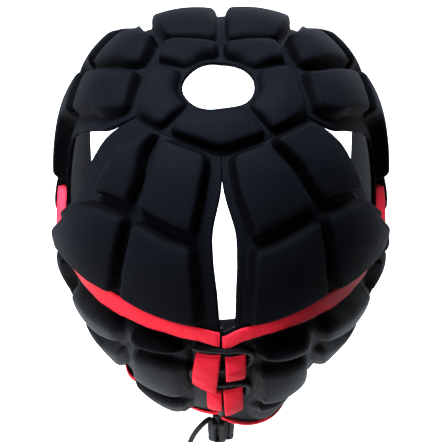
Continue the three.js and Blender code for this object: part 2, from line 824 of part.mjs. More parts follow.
// The lace: from its sewn end at the upper left, to and fro through the loops, down to the knot.
const LACE_ROUTE = [
  { turn: 8.4, drop: 77.7 },
  { turn: 4, drop: 77.7 },
  { turn: -2, drop: 77.9 },
  { turn: -6, drop: 78.4 },
  { turn: -8.8, drop: 80.4 },
  { turn: -8.8, drop: 84 },
  { turn: -6, drop: 86.2 },
  { turn: 0, drop: 86.4 },
  { turn: 6, drop: 86.6 },
  { turn: 8.8, drop: 88.6 },
  { turn: 8.8, drop: 92 },
  { turn: 6, drop: 94.5 },
  { turn: 0, drop: 94.7 },
  { turn: -6, drop: 95 },
  { turn: -8.8, drop: 97 },
  { turn: -8.8, drop: 102.2 },
  { turn: -6, drop: 104.8 },
  { turn: -2.2, drop: 106 },
  { turn: -0.2, drop: 109 },
  { turn: 0, drop: 113 },
  { turn: 0, drop: 121.6 },
];

const KNOT = { turn: 0, drop: 125.6, lift: 5.0, radius: 3.4, halfWidth: 4.9 };
const BOW = { strands: 4, width: 12.8, depth: 5.4, length: 22 };
const TAIL_END = { across: 14, back: 3, down: 26 };

function cordAlong(points, steps) {
  const path = new THREE.CatmullRomCurve3(points, false, "centripetal");
  const section = new THREE.Shape();
  for (let i = 0; i < LACE.sides; i++) {
    const angle = (i / LACE.sides) * 2 * Math.PI;
    const [x, y] = [LACE.radius * Math.cos(angle), LACE.radius * Math.sin(angle)];
    if (i === 0) section.moveTo(x, y);
    else section.lineTo(x, y);
  }
  section.closePath();
  const geometry = new THREE.ExtrudeGeometry(section, { steps, extrudePath: path, bevelEnabled: false });
  geometry.deleteAttribute("uv");
  return geometry;
}

const laceRoute = () => LACE_ROUTE.map(({ turn, drop }) => skin(turn, drop, LACE.lift));
const knotCentre = () => skin(KNOT.turn, KNOT.drop, KNOT.lift);

// The bow's two loops hang drawn together under the knot: four strands side by side.
function bowBundle() {
  const knot = knotCentre();
  const top = knot.z - KNOT.radius - 0.4;
  const shares = [
    { down: 0, across: 0.5 },
    { down: 0.14, across: 0.8 },
    { down: 0.4, across: 1 },
    { down: 0.72, across: 1 },
    { down: 0.92, across: 0.93 },
    { down: 1, across: 0.74 },
  ];
  const corners = 32;
  const rings = shares.map(({ down, across }) => {
    const ring = [];
    for (let i = 0; i < corners; i++) {
      const angle = (i / corners) * 2 * Math.PI;
      const place = Math.cos(angle);
      const lobe = 0.72 + 0.28 * Math.abs(Math.sin(((place + 1) / 2) * BOW.strands * Math.PI));
      const x = knot.x + (place * BOW.width * across) / 2;
      const y = knot.y + (Math.sin(angle) * BOW.depth * lobe * lerp(across, 1, 0.5)) / 2;
      ring.push(new THREE.Vector3(x, y, top - down * BOW.length));
    }
    return ring;
  });
  return sweptSection(rings);
}

function tailRoute() {
  const knot = knotCentre();
  const share = [
    { across: 0, back: 0.3, down: 0 },
    { across: 0.3, back: 0.8, down: 0.1 },
    { across: 0.62, back: 1, down: 0.36 },
    { across: 0.86, back: 1, down: 0.68 },
    { across: 1, back: 0.9, down: 1 },
  ];
  const startAcross = KNOT.halfWidth + 0.4;
  return share.map(
    (s) =>
      new THREE.Vector3(
        knot.x + startAcross + s.across * TAIL_END.across,
        knot.y + s.back * TAIL_END.back,
        knot.z - s.down * TAIL_END.down,
      ),
  );
}

// The chin strap's centre line: it hangs from the left ear guard down and up to the right one.
const STRAP_ROUTE = [
  { across: 74.4, along: -27, height: -150.5 },
  { across: 70.3, along: -27, height: -163 },
  { across: 65, along: -26, height: -182 },
  { across: 54, along: -23, height: -206 },
  { across: 31, along: -18, height: -233 },
  { across: 0, along: -16, height: -243 },
];
const STRAP_TUCK = -STRAP.thickness - 1.5; // lies inside the ear guard

// lift(t) is how far the strap's inner face stands off the centre line, t runs left to right.
function strapSolid(from, to, lift, steps) {
  const half = STRAP_ROUTE.map((p) => new THREE.Vector3(p.across, p.along, p.height));
  const other = half.slice(0, -1).reverse().map((p) => new THREE.Vector3(-p.x, p.y, p.z));
  const path = new THREE.CatmullRomCurve3([...half, ...other], false, "centripetal");
  const rows = [];
  for (let i = 0; i <= steps; i++) {
    const t = lerp(from, to, i / steps);
    const centre = path.getPointAt(t);
    const along = path.getTangentAt(t);
    const inward = new THREE.Vector3(0, -27, -150).sub(centre);
    const across = along.clone().cross(inward).normalize();
    const outward = along.clone().cross(across).normalize();
    if (outward.dot(inward) > 0) outward.negate();
    const at = (side, height) =>
      centre.clone().addScaledVector(across, (side * STRAP.width) / 2).addScaledVector(outward, height);
    rows.push({
      lowerA: at(-1, lift(t)),
      lowerB: at(1, lift(t)),
      upperA: at(-1, lift(t) + STRAP.thickness),
      upperB: at(1, lift(t) + STRAP.thickness),
    });
  }
  return stripSolid(rows);
}

const finish = (color, roughness) => new THREE.MeshStandardMaterial({ color, roughness, metalness: 0 });
const cover = finish(COLOURS.cover, 0.85);
const tape = finish(COLOURS.tape, 0.7);
const cordFinish = finish(COLOURS.lace, 0.9);
const webbing = finish(COLOURS.strap, 0.85);

function named(name, geometry, material) {
  const mesh = new THREE.Mesh(geometry, material);
  mesh.name = name;
  return mesh;
}

const headGuard = new THREE.Group();
headGuard.add(named("crown_ring", ringCells(), cover));
headGuard.add(named("brow_panel", browPanel(), cover));

for (const [word, side] of [
  ["left", 1],
  ["right", -1],
]) {
  const half = new THREE.Group();
  half.add(named("side_panel_" + word, sidePanel(side), cover));
  half.add(named("rear_flap_" + word, rearFlap(side), cover));
  half.add(named("nape_guard_" + word, napeGuard(side), cover));
  half.add(named("ear_guard_" + word, earGuard(side), cover));
  half.add(named("band_tape_" + word, bandTape(side), tape));
  half.add(named("nape_binding_" + word, napeBinding(side), tape));
  headGuard.add(half);
}

for (const loop of LOOPS) headGuard.add(named(loop.name, laceLoop(loop), tape));

headGuard.add(named("lace", cordAlong(laceRoute(), 56), cordFinish));
const knotBall = new THREE.SphereGeometry(KNOT.radius, 10, 8).scale(KNOT.halfWidth / KNOT.radius, 1, 1);
const knot = named("lace_knot", knotBall, cordFinish);
knot.position.copy(knotCentre());
headGuard.add(knot);
headGuard.add(named("lace_bow", bowBundle(), cordFinish));
headGuard.add(named("lace_tail", cordAlong(tailRoute(), 10), cordFinish));

const overTheOther = (t) => lerp(-0.5, STRAP_TUCK, ease((t - 0.32) / 0.12));
headGuard.add(named("chin_strap_right", strapSolid(0.15, 1, overTheOther, 28), webbing));
headGuard.add(named("chin_strap_left", strapSolid(0, 0.3, () => STRAP_TUCK, 10), webbing));

export default headGuard;
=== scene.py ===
import math
import bpy
import numpy as np
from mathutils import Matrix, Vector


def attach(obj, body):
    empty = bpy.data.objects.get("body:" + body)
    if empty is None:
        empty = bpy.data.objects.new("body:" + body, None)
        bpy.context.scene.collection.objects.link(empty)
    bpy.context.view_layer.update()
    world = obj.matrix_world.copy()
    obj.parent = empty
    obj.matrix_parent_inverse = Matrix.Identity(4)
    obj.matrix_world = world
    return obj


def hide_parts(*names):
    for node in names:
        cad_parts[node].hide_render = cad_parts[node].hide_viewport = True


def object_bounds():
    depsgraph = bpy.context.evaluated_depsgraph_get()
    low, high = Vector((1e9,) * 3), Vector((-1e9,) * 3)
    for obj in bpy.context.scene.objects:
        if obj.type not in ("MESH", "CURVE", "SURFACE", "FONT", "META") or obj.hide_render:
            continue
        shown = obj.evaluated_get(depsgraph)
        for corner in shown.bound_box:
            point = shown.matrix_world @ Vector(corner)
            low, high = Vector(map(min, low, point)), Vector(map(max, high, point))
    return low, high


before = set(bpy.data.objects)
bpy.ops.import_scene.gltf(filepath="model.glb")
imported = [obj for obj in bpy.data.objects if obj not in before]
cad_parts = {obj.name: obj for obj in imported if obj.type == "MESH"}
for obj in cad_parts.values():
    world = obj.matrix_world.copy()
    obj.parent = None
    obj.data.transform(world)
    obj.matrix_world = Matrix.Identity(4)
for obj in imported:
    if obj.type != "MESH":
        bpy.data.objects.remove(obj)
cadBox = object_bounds()
mm = 0.001
print("stage: frame loaded,", len(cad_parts), "nodes")


def clearSelection():
    if bpy.context.mode != "OBJECT":
        bpy.ops.object.mode_set(mode="OBJECT")
    bpy.ops.object.select_all(action="DESELECT")


# the object that was added last, under its name
def lastAdded(name):
    made = bpy.context.active_object
    made.name = name
    return made


def editWholeMesh():
    bpy.ops.object.mode_set(mode="EDIT")
    bpy.ops.mesh.select_all(action="SELECT")


def makeActive(piece):
    clearSelection()
    piece.select_set(True)
    bpy.context.view_layer.objects.active = piece


# camera, floor and light

viewpoint = {
    "elevation": 52.006,
    "distance": 0.9,
    "aim": (0.0, 0.0, -0.105),   # middle of the head form
    "lens": 134.48,
    "shiftY": -0.00567,
}


def setCamera():
    rise = math.radians(viewpoint["elevation"])
    away = viewpoint["distance"]
    aim = viewpoint["aim"]
    place = (aim[0], aim[1] + away * math.cos(rise), aim[2] + away * math.sin(rise))
    bpy.ops.object.camera_add(location=place, rotation=(math.pi / 2 - rise, 0, math.pi))
    camera = lastAdded("photoCamera")
    camera.data.lens = viewpoint["lens"]
    camera.data.sensor_width = 36
    camera.data.shift_y = viewpoint["shiftY"]
    bpy.context.scene.camera = camera


setCamera()

studio = {
    "floorDrop": 0.35,       # floor below the lowest point
    "floorSize": 8,
    "floorGlow": 0.35,
    "backdropRadius": 3.9,
    "skyStrength": 0.06,
    "lights": [
        {"name": "keyLight", "place": (0.35, -0.45, 1.25), "power": 110, "size": 0.7,
         "colour": (0.82, 0.91, 1.0)},
        # lifts the tape's red without a shine on the dark cloth
        {"name": "fillLight", "place": (0.9, 0.8, 0.7), "power": 15, "size": 0.5, "colour": (1.0, 0.97, 0.94),
         "without": "visible_glossy"},
        # light that comes back from below, behind the wearer's left
        {"name": "lowLight", "place": (0.3, 0.55, -0.5), "power": 4, "size": 0.4, "colour": (1.0, 1.0, 1.0),
         "without": "visible_camera"},
        {"name": "frontLight", "place": (-0.5, -1.3, -0.15), "power": 10, "size": 0.8,
         "colour": (0.9, 0.95, 1.0), "without": "visible_camera"},
    ],
}


def addSoftLight(light):
    bpy.ops.object.light_add(type="AREA", location=light["place"])
    lamp = lastAdded(light["name"])
    lamp.data.energy = light["power"]
    lamp.data.size = light["size"]
    lamp.data.color = light["colour"]
    toward = np.array(viewpoint["aim"]) - np.array(light["place"])
    flat = math.hypot(toward[0], toward[1])
    lamp.rotation_euler = (math.atan2(flat, -toward[2]), 0, math.atan2(toward[0], -toward[1]) + math.pi)
    if "without" in light:
        setattr(lamp, light["without"], False)


# shader helper: wraps a socket so that maths reads as plain expressions

class Shade:
    def __init__(self, tree, socket=None, owner=None):
        self.tree = tree
        self.socket = socket
        self.owner = owner

    def plug(self, entry, value):
        if isinstance(value, Shade):
            self.tree.links.new(value.socket, entry)
        else:
            entry.default_value = value

    def node(self, kind, settings=None, sockets=None):
        made = self.tree.nodes.new(kind)
        for key, value in (settings or {}).items():
            setattr(made, key, value)
        for key, value in (sockets or {}).items():
            self.plug(made.inputs[key], value)
        first = next((s for s in made.outputs if s.enabled), None)
        return Shade(self.tree, first, made)

    def noise(self, scale, detail):
        return self.node("ShaderNodeTexNoise", {}, {"Vector": self, "Scale": scale, "Detail": detail})

    def out(self, name):
        return Shade(self.tree, self.owner.outputs[name], self.owner)

    def maths(self, operation, other=None, flipped=False):
        pair = [other, self] if flipped else [self, other]
        sockets = {i: part for i, part in enumerate(pair) if part is not None}
        return self.node("ShaderNodeMath", {"operation": operation}, sockets)

    def __add__(self, other): return self.maths("ADD", other)
    def __radd__(self, other): return self.maths("ADD", other)
    def __sub__(self, other): return self.maths("SUBTRACT", other)
    def __rsub__(self, other): return self.maths("SUBTRACT", other, True)
    def __mul__(self, other): return self.maths("MULTIPLY", other)
    def sine(self): return self.maths("SINE")
    def wave(self): return (self.sine() + 1) * 0.5
    def fraction(self): return self.maths("FRACT")
    def size(self): return self.maths("ABSOLUTE")

    def held(self):
        return self.node("ShaderNodeClamp", {}, {"Value": self})


def newMaterial(name):
    material = bpy.data.materials.new(name)
    material.use_nodes = True
    tree = material.node_tree
    shader = tree.nodes["Principled BSDF"]
    return material, Shade(tree), shader


# a new material whose marks lie along a piece's own flat pattern
def patternMaterial(name):
    material, shade, shader = newMaterial(name)
    pattern = shade.node("ShaderNodeUVMap", {"uv_map": "pattern"})
    split = pattern.node("ShaderNodeSeparateXYZ", {}, {"Vector": pattern})
    return material, shader, pattern, split.out("X"), split.out("Y")


def feed(shade, shader, entries):
    for key, value in entries.items():
        shade.plug(shader.inputs[key], value)


def mixed(shade, share, one, two):
    made = shade.node("ShaderNodeMix", {"data_type": "RGBA"}, {"Factor": share})
    entries = [s for s in made.owner.inputs if s.type == "RGBA"]
    for entry, value in zip(entries, (one, two)):
        shade.plug(entry, value if isinstance(value, Shade) else (*value, 1))
    return Shade(shade.tree, next(s for s in made.owner.outputs if s.type == "RGBA"), made.owner)


# finishes

def knitFinish(name, look):
    material, shader, pattern, across, along = patternMaterial(name)
    wale = (across * (1 / look["wale"])).fraction()
    ridge = (wale - 0.5).size() * 2           # 0 on a rib, 1 in the gap between two
    rib = 1 - ridge * ridge
    course = ((along * (1 / look["course"])) + ridge * 0.55).fraction()
    loop = (course * math.pi).sine()
    height = rib * 0.7 + rib * loop * 0.3
    fuzz = pattern.noise(2600.0, 2.0)
    worn = pattern.noise(38.0, 3.0)
    tone = (height * 0.5 + fuzz * 0.35 + worn * 0.55 - 0.2).held()
    # the steep attribute is the mask for the painted shade on block sides
    steep = pattern.node("ShaderNodeAttribute", {"attribute_name": "steep"}).out("Fac")
    flatTone = mixed(pattern, tone, look["dark"], look["light"])
    colour = mixed(pattern, steep, flatTone, look["sideShadeColour"])      # painted shade: block sides take a darker colour than their tops, as if the grooves shaded them
    bump = pattern.node("ShaderNodeBump", {}, {
        "Height": height * 0.8 + fuzz * 0.2, "Strength": look["relief"], "Distance": 0.00035,
    })
    feed(pattern, shader, {
        "Base Color": colour,
        "Roughness": look["rough"] + (fuzz - 0.5) * 0.2,
        "Normal": bump,
        "Specular IOR Level": look["gloss"],
        "Sheen Weight": look["sheen"],
        "Sheen Roughness": 0.45,
        "Sheen Tint": (*look["sheenTint"], 1),
    })
    return material


def tapeFinish(name, look):
    material, shader, pattern, along, across = patternMaterial(name)
    rib = (along * (2 * math.pi / look["rib"])).wave()
    thread = (across * (2 * math.pi / look["thread"])).wave()
    fuzz = pattern.noise(2400.0, 2.0)
    faded = pattern.noise(60.0, 2.0)
    tone = (rib * 0.45 + thread * 0.1 + fuzz * 0.3 + faded * 0.3 - 0.05).held()
    colour = mixed(pattern, tone, look["dark"], look["light"])
    bump = pattern.node("ShaderNodeBump", {}, {
        "Height": rib * 0.75 + thread * 0.15 + fuzz * 0.1, "Strength": look["relief"], "Distance": 0.0003,
    })
    feed(pattern, shader, {
        "Base Color": colour,
        "Roughness": 0.62 + (fuzz - 0.5) * 0.2,
        "Normal": bump,
        "Specular IOR Level": look["gloss"],
        "Sheen Weight": look["sheen"],
        "Sheen Roughness": 0.5,
        "Sheen Tint": (*look["light"], 1),
    })
    return material


def braidFinish(name, look):
    material, shader, pattern, along, around = patternMaterial(name)
    twist = along * (2 * math.pi / look["pitch"])
    turn = around * (2 * math.pi * look["strands"])
    height = (twist + turn).wave().maths("MAXIMUM", (twist - turn).wave())
    fuzz = pattern.noise(900.0, 2.0)
    colour = mixed(pattern, (height * 0.7 + fuzz * 0.4 - 0.1).held(), look["dark"], look["light"])
    bump = pattern.node("ShaderNodeBump", {}, {"Height": height, "Strength": 0.6, "Distance": 0.0003})
    feed(pattern, shader, {
        "Base Color": colour,
        "Roughness": 0.6 + (fuzz - 0.5) * 0.2,
        "Normal": bump,
        "Specular IOR Level": 0.1,
        "Sheen Weight": 0.03,
    })
    return material


def floorFinish():
    material, shade, shader = newMaterial("paleFloor")
    place = shade.node("ShaderNodeTexCoord").out("Object")
    speck = place.noise(6.0, 4.0)
    feed(shade, shader, {
        "Base Color": mixed(shade, speck, (0.86, 0.86, 0.86), (0.9, 0.9, 0.9)),
        "Roughness": 0.85 + (speck - 0.5) * 0.1,
        "Specular IOR Level": 0.1,
        "Emission Color": (0.9, 0.92, 0.95, 1),
        "Emission Strength": studio["floorGlow"],
    })
    return material


def backdropFinish():
    material, shade, shader = newMaterial("paleBackdrop")
    place = shade.node("ShaderNodeTexCoord").out("Object")
    cloud = place.noise(0.3, 1.0)
    feed(shade, shader, {
        "Base Color": mixed(shade, cloud, (0.02, 0.02, 0.02), (0.03, 0.03, 0.03)),
        "Roughness": 0.9,
        "Specular IOR Level": 0.0,
        "Emission Color": mixed(shade, cloud, (0.68, 0.7, 0.73), (0.74, 0.75, 0.77)),
        "Emission Strength": 1.0,
    })
    return material


knitLook = {
    "wale": 0.00112, "course": 0.0010, "relief": 0.5,
    # the third colour is painted shade, laid on block sides
    "dark": (0.0009, 0.0011, 0.0017), "light": (0.0038, 0.0044, 0.0062), "sideShadeColour": (0.0003, 0.0003, 0.0005),
    "rough": 0.7, "gloss": 0.018, "sheen": 0.008, "sheenTint": (0.45, 0.53, 0.75),
}
napeLook = dict(knitLook, rough=0.55, gloss=0.035, sheen=0.008, sheenTint=(0.7, 0.72, 0.75))
tapeLook = {
    "rib": 0.0011, "thread": 0.0007, "relief": 0.5, "sheen": 0.05, "gloss": 0.12,
    "dark": (0.76, 0.009, 0.028), "light": (0.95, 0.03, 0.062),
}
laceLook = {"pitch": 0.0026, "strands": 4, "dark": (0.0012, 0.0012, 0.0016), "light": (0.007, 0.007, 0.0085)}
strapLook = {
    "rib": 0.0013, "thread": 0.0008, "relief": 0.6, "sheen": 0.02, "gloss": 0.06,
    "dark": (0.0016, 0.0018, 0.0022), "light": (0.007, 0.0073, 0.009),
}

knitCloth = knitFinish("coverKnit", knitLook)
napeCloth = knitFinish("napeKnit", napeLook)
redTape = tapeFinish("redTape", tapeLook)
blackBraid = braidFinish("blackBraid", laceLook)
strapWeb = tapeFinish("strapWebbing", strapLook)
print("stage: finishes mixed")


# the head form that every panel is shaped on, in millimetres and degrees

headForm = {
    "halfWidth": 82, "front": 98, "back": 97, "crown": 105,
    "frontPower": 2.9, "backPower": 1.9, "profilePower": 2.2,
    "neckTaper": 0.2, "neckTop": 40, "neckHeight": 80,
}


def ease(t):
    t = np.clip(t, 0, 1)
    return t * t * (3 - 2 * t)


def blend(a, b, t):
    return a + (b - a) * np.asarray(t, float)


def unit(vectors):
    return vectors / np.linalg.norm(vectors, axis=-1, keepdims=True)


def tableAt(rows, place):
    return np.interp(place, *np.array(rows, float).T)


# length of a line of points up to each of them
def runAlong(points):
    return np.concatenate([[0], np.cumsum(np.linalg.norm(np.diff(points, axis=0), axis=1))])


def evenArrays(one, two):
    return np.broadcast_arrays(np.asarray(one, float), np.asarray(two, float))


def headPoint(turn, drop):
    form = headForm
    turn, drop = np.radians(turn), np.radians(drop)
    side, depth, up = np.sin(drop) * np.sin(turn), np.sin(drop) * np.cos(turn), np.cos(drop)
    power = np.where(depth > 0, form["backPower"], form["frontPower"])
    length = np.where(depth > 0, form["back"], form["front"])
    plan = np.abs(side / form["halfWidth"]) ** power + np.abs(depth / length) ** power
    level = plan ** (form["profilePower"] / power) + np.abs(up / form["crown"]) ** form["profilePower"]
    reach = level ** (-1 / form["profilePower"])
    x, y, z = reach * side, reach * depth, reach * up
    low = ease((form["neckTop"] - z) / form["neckHeight"])
    x = x * (1 - form["neckTaper"] * low * ease(y / form["back"]))
    return np.stack([x, y, z - form["crown"]], axis=-1)


def headNormal(turn, drop):
    step = 0.2
    down = headPoint(turn, drop + step) - headPoint(turn, drop - step)
    around = headPoint(turn + step, drop) - headPoint(turn - step, drop)
    normal = unit(np.cross(down, around))
    outward = headPoint(turn, drop) + np.array([0, 0, headForm["crown"]])
    facing = np.sum(normal * outward, axis=-1, keepdims=True)
    return np.where(facing < 0, -normal, normal)


def headSkin(turn, drop, lift):
    return headPoint(turn, drop) + headNormal(turn, drop) * np.asarray(lift)[..., None]


# smooth line through table rows, spaced as a rope pulled through pegs
def lineThrough(rows):
    pegs = np.array(rows, float)
    ends = np.vstack([2 * pegs[0] - pegs[1], pegs, 2 * pegs[-1] - pegs[-2]])

    def at(t):
        t = np.clip(np.asarray(t, float), 0, 1) * (len(pegs) - 1)
        first = np.minimum(t.astype(int), len(pegs) - 2)
        share = (t - first)[..., None]
        p0, p1, p2, p3 = (ends[first + k] for k in range(4))
        pairs = ((p0, p1), (p1, p2), (p2, p3))
        gap = [np.sqrt(np.linalg.norm(b - a, axis=-1, keepdims=True)) for a, b in pairs]
        out = (p1 - p0) / gap[0] - (p2 - p0) / (gap[0] + gap[1]) + (p2 - p1) / gap[1]
        into = (p2 - p1) / gap[1] - (p3 - p1) / (gap[1] + gap[2]) + (p3 - p2) / gap[2]
        out, into = out * gap[1], into * gap[1]
        c2 = -3 * p1 + 3 * p2 - 2 * out - into
        c3 = 2 * p1 - 2 * p2 + out + into
        return p1 + share * (out + share * (c2 + share * c3))

    return at


def dropAlong(rows):
    line = lineThrough(rows)(np.linspace(0, 1, 1500))
    return lambda turn: np.interp(turn, line[:, 0], line[:, 1])


# edges that panels share, as (turn from the middle of the back, drop from the crown)
ringEdge = dropAlong([
    (-1, 21.6), (10, 20.9), (21, 20.3), (36, 20.2), (47, 20.6), (62, 22.2), (76, 24), (84, 22.8), (94, 21.8),
    (107, 21.3), (120, 21), (132, 22.2), (141, 23.8), (148, 21), (156, 18.6), (166, 16.9), (174, 16.3),
    (181, 16.2),
])
guardTop = dropAlong([
    (-1, 70), (20, 69.5), (33, 69.8), (45, 73.4), (56, 77.8), (66, 83.8), (75, 89.4), (84, 92), (97, 88),
    (113, 86), (131, 84),
])
slitLine = {
    1: lineThrough([(-0.3, 21.6), (-0.2, 26), (0.5, 31), (3.5, 41), (3.2, 48), (1.6, 59), (0.7, 70.8)]),
    -1: lineThrough([(0.4, 21.6), (0.7, 26), (1.8, 31), (6, 41.5), (6, 49), (5.2, 58), (4.5, 70.8)]),
}
flapOuter = lineThrough([
    (75.6, 23.9), (78, 34.6), (75.5, 42), (73, 50), (73, 58), (77, 68), (83, 80), (84.5, 92.9),
])
sideRear = lineThrough([
    (76.4, 24), (81.2, 33.6), (89, 40.4), (96, 47.6), (103, 57), (107, 66), (104.5, 74), (99, 82),
    (95.5, 89.3),
])
browSide = lineThrough([(141, 23.8), (144.5, 31), (151, 45), (156, 58), (160.5, 72)])
napeRim = lineThrough([(-0.4, 122.6), (14, 124.2), (27, 123), (39, 119.5), (52, 119), (67.6, 121.2)])
sides = (("left", 1), ("right", -1))


def pair(turn, drop):
    return np.stack(evenArrays(turn, drop), axis=-1)


# patch between four edge lines
def edgePatch(top, bottom, near, far):
    def at(u, v):
        u, v = evenArrays(u, v)
        s, t = u[..., None], v[..., None]
        corners = blend(blend(top(0.0), top(1.0), s), blend(bottom(0.0), bottom(1.0), s), t)
        return blend(top(u), bottom(u), t) + blend(near(v), far(v), s) - corners

    return at


def runLength(at, downwards):
    t = np.linspace(0, 1, 25)
    spots = at(0.5 + 0 * t, t) if downwards else at(t, 0.5 + 0 * t)
    points = headPoint(spots[:, 0], spots[:, 1])
    return np.linalg.norm(np.diff(points, axis=0), axis=1).sum()


def pulledIn(at, gap):
    across, down = gap / 2 / runLength(at, False), gap / 2 / runLength(at, True)
    return lambda u, v: at(blend(across, 1 - across, u), blend(down, 1 - down, v))


# padding shared by the panels
padding = {
    "web": 2.6,          # flat edges and grooves
    "groove": 0.8,       # half width of a groove
    "slope": 4.0,        # width of a block's side, up to its rounded shoulder
    "corner": 4.5,       # corner rounding of a block, seen flat
    "bridge": 0.12,      # how far the cover stays up across a groove, as a share of a block's height
    "dome": 2.0,         # extra height at a block's middle
    "rim": 1.3,          # rounding of a panel's cut edge
    "fine": 0.55,        # mesh spacing beside a groove
    "broad": 1.7,        # mesh spacing on a block's top
    "reach": 4.5,        # how far the fine spacing runs on either side of a groove
    "joint": -1.2,       # panels meet with a little overlap, so no light shows
    "tuck": 0.9,         # degrees that panels reach under the guard's upper edge
    "shoulder": (2.2, 0.77),     # powers that shape a block's side
    "plump": (0.95, 0.1),        # least fullness of a block, and how much it varies
    "lean": 1.1,         # how far a block's top leans
    "pucker": 0.2,       # small puckers where the cover is pressed down along the grooves
    "fill": 0.85,
}


def cellHash(a, b, seed):
    value = math.sin(a * 12.9898 + b * 78.233 + seed * 37.719) * 43758.5453
    return value - math.floor(value)


# a flat margin is one width, or a short table of widths along its edge
def marginAt(margin, share):
    if isinstance(margin, list):
        return tableAt(margin, share)
    return np.full_like(share, margin)


# distances from a place to both ends of its block, and to the panel's own margins
def cellSpan(place, other, borders, margins, groove, local):
    borders = np.array([0, *borders, 1], float)
    cell = np.clip(np.searchsorted(borders, place, side="right") - 1, 0, len(borders) - 2)
    first, last = cell == 0, cell == len(borders) - 2
    low = (place - borders[cell]) * local - np.where(first, marginAt(margins[0], other), groove)
    high = (borders[cell + 1] - place) * local - np.where(last, marginAt(margins[1], other), groove)
    hem = np.minimum(np.where(first, low, 99.0), np.where(last, high, 99.0))
    return cell, low, high, hem


# a block's side: steep at its foot, rounded over at its shoulder
def sideRise(inside, slope):
    share = np.clip(inside / slope, 0, 1)
    steep, full = padding["shoulder"]
    return (1 - (1 - share) ** steep) ** full


def reliefAt(u, v, spanU, spanV, plan, localU, localV, closed):
    grooveU, grooveV = plan.get("grooves", (padding["groove"], padding["groove"]))
    cellU, lowU, highU, hemU = cellSpan(u, v, plan["columns"], plan["sideMargins"], grooveU, localU)
    cellV, lowV, highV, hemV = cellSpan(v, u, plan["rows"], plan["endMargins"], grooveV, localV)
    insideU, insideV = np.minimum(lowU, highU), np.minimum(lowV, highV)
    corner = plan.get("corner", padding["corner"])
    cutU, cutV = np.maximum(corner - insideU, 0), np.maximum(corner - insideV, 0)
    isCorner = (cutU > 0) & (cutV > 0)
    inside = np.where(isCorner, corner - np.hypot(cutU, cutV), np.minimum(insideU, insideV))
    slope = plan.get("slope", padding["slope"])
    hem = hemV if closed else np.minimum(hemU, hemV)
    rise = np.maximum(sideRise(inside, slope), plan.get("bridge", padding["bridge"]) * sideRise(hem, slope))
    placeU = np.clip(lowU / np.maximum(lowU + highU, 1e-6), 0, 1)
    placeV = np.clip(lowV / np.maximum(lowV + highV, 1e-6), 0, 1)
    dome = 16 * placeU * (1 - placeU) * placeV * (1 - placeV)
    plump = np.ones_like(u)
    lean = np.zeros_like(u)
    leastPlump, morePlump = padding["plump"]
    for a in range(len(plan["columns"]) + 1):
        for b in range(len(plan["rows"]) + 1):
            here = (cellU == a) & (cellV == b)
            plump[here] = leastPlump + morePlump * cellHash(a, b, plan["seed"])
            tiltU = cellHash(a + 7, b, plan["seed"]) - 0.5
            tiltV = cellHash(a, b + 7, plan["seed"]) - 0.5
            lean[here] = (tiltU * (placeU - 0.5) + tiltV * (placeV - 0.5))[here]
    sway = 2.1 * np.sin(v * spanV / 9 + plan["seed"])
    wave = np.sin(u * spanU / 3.1 + sway) * np.sin(v * spanV / 3.7 + plan["seed"])
    pucker = 4 * rise * (1 - rise) * wave * plan.get("pucker", padding["pucker"])
    height = plan["block"] - padding["web"]
    if "rowShares" in plan:
        height = height * np.array(plan["rowShares"])[cellV]
    if "low" in plan:
        height = height * plan["low"](u, v)
    lift = height * rise * plump + padding["dome"] * dome * rise + lean * padding["lean"] * rise + pucker
    return lift, rise


# places along one direction of a grid, close together beside the marked spots
def gridPlaces(length, spots, scale):
    run = np.linspace(0, length, 4000)
    away = np.min(np.abs(run[:, None] - np.array(spots)[None, :] * length), axis=1)
    spacing = blend(padding["fine"], padding["broad"], ease((away - 2) / padding["reach"])) * scale
    count = np.concatenate([[0], np.cumsum(np.diff(run) / spacing[:-1])])
    steps = max(12, int(round(count[-1])))
    return np.interp(np.linspace(0, count[-1], steps + 1), count, run) / length


def markedSpots(borders, margins, length):
    spots = [0, *borders, 1]
    for end, margin in zip((0, 1), margins):
        widths = [width for _, width in margin] if isinstance(margin, list) else [margin]
        spots += [abs(end - width / length) for width in widths]
    return spots


def panelPlaces(at, plan, scale):
    spanU, spanV = runLength(at, False), runLength(at, True)
    return (gridPlaces(spanU, markedSpots(plan["columns"], plan["sideMargins"], spanU), scale),
            gridPlaces(spanV, markedSpots(plan["rows"], plan["endMargins"], spanV), scale))


# millimetres that a whole share would span at the speed each place has, across or down
def localSpan(at, u, v, downwards):
    step = 1e-3
    place = v if downwards else u
    ahead, behind = np.minimum(place + step, 1), np.maximum(place - step, 0)
    far, near = (at(u, ahead), at(u, behind)) if downwards else (at(ahead, v), at(behind, v))
    gap = headPoint(far[..., 0], far[..., 1]) - headPoint(near[..., 0], near[..., 1])
    return np.linalg.norm(gap, axis=-1) / (ahead - behind)


# positions of both faces of a panel over a grid of places
def panelFaces(at, plan, placesU, placesV, closed):
    u, v = np.meshgrid(placesU, placesV, indexing="ij")
    spots = at(u, v)
    spanU, spanV = runLength(at, False), runLength(at, True)
    localU, localV = localSpan(at, u, v, False), localSpan(at, u, v, True)
    lift, rise = reliefAt(u, v, spanU, spanV, plan, localU, localV, closed)
    edge = np.minimum(v, 1 - v) * localV
    if not closed:
        edge = np.minimum(edge, np.minimum(u, 1 - u) * localU)
    rounded = np.sqrt(1 - (1 - np.clip(edge / padding["rim"], 0, 1)) ** 2)
    half = padding["web"] / 2
    stand = plan["stand"](u, v) if "stand" in plan else 0.0
    outer = half + half * rounded + lift + stand
    inner = half - half * rounded + stand
    turn, drop = spots[..., 0], spots[..., 1]
    return headSkin(turn, drop, outer), headSkin(turn, drop, inner), spots, rise


def readPoints(mesh):
    points = np.empty(len(mesh.vertices) * 3)
    mesh.vertices.foreach_get("co", points)
    return points.reshape(-1, 3)


def writePoints(mesh, points):
    mesh.vertices.foreach_set("co", np.ascontiguousarray(points, dtype=np.float32).ravel())
    mesh.update()


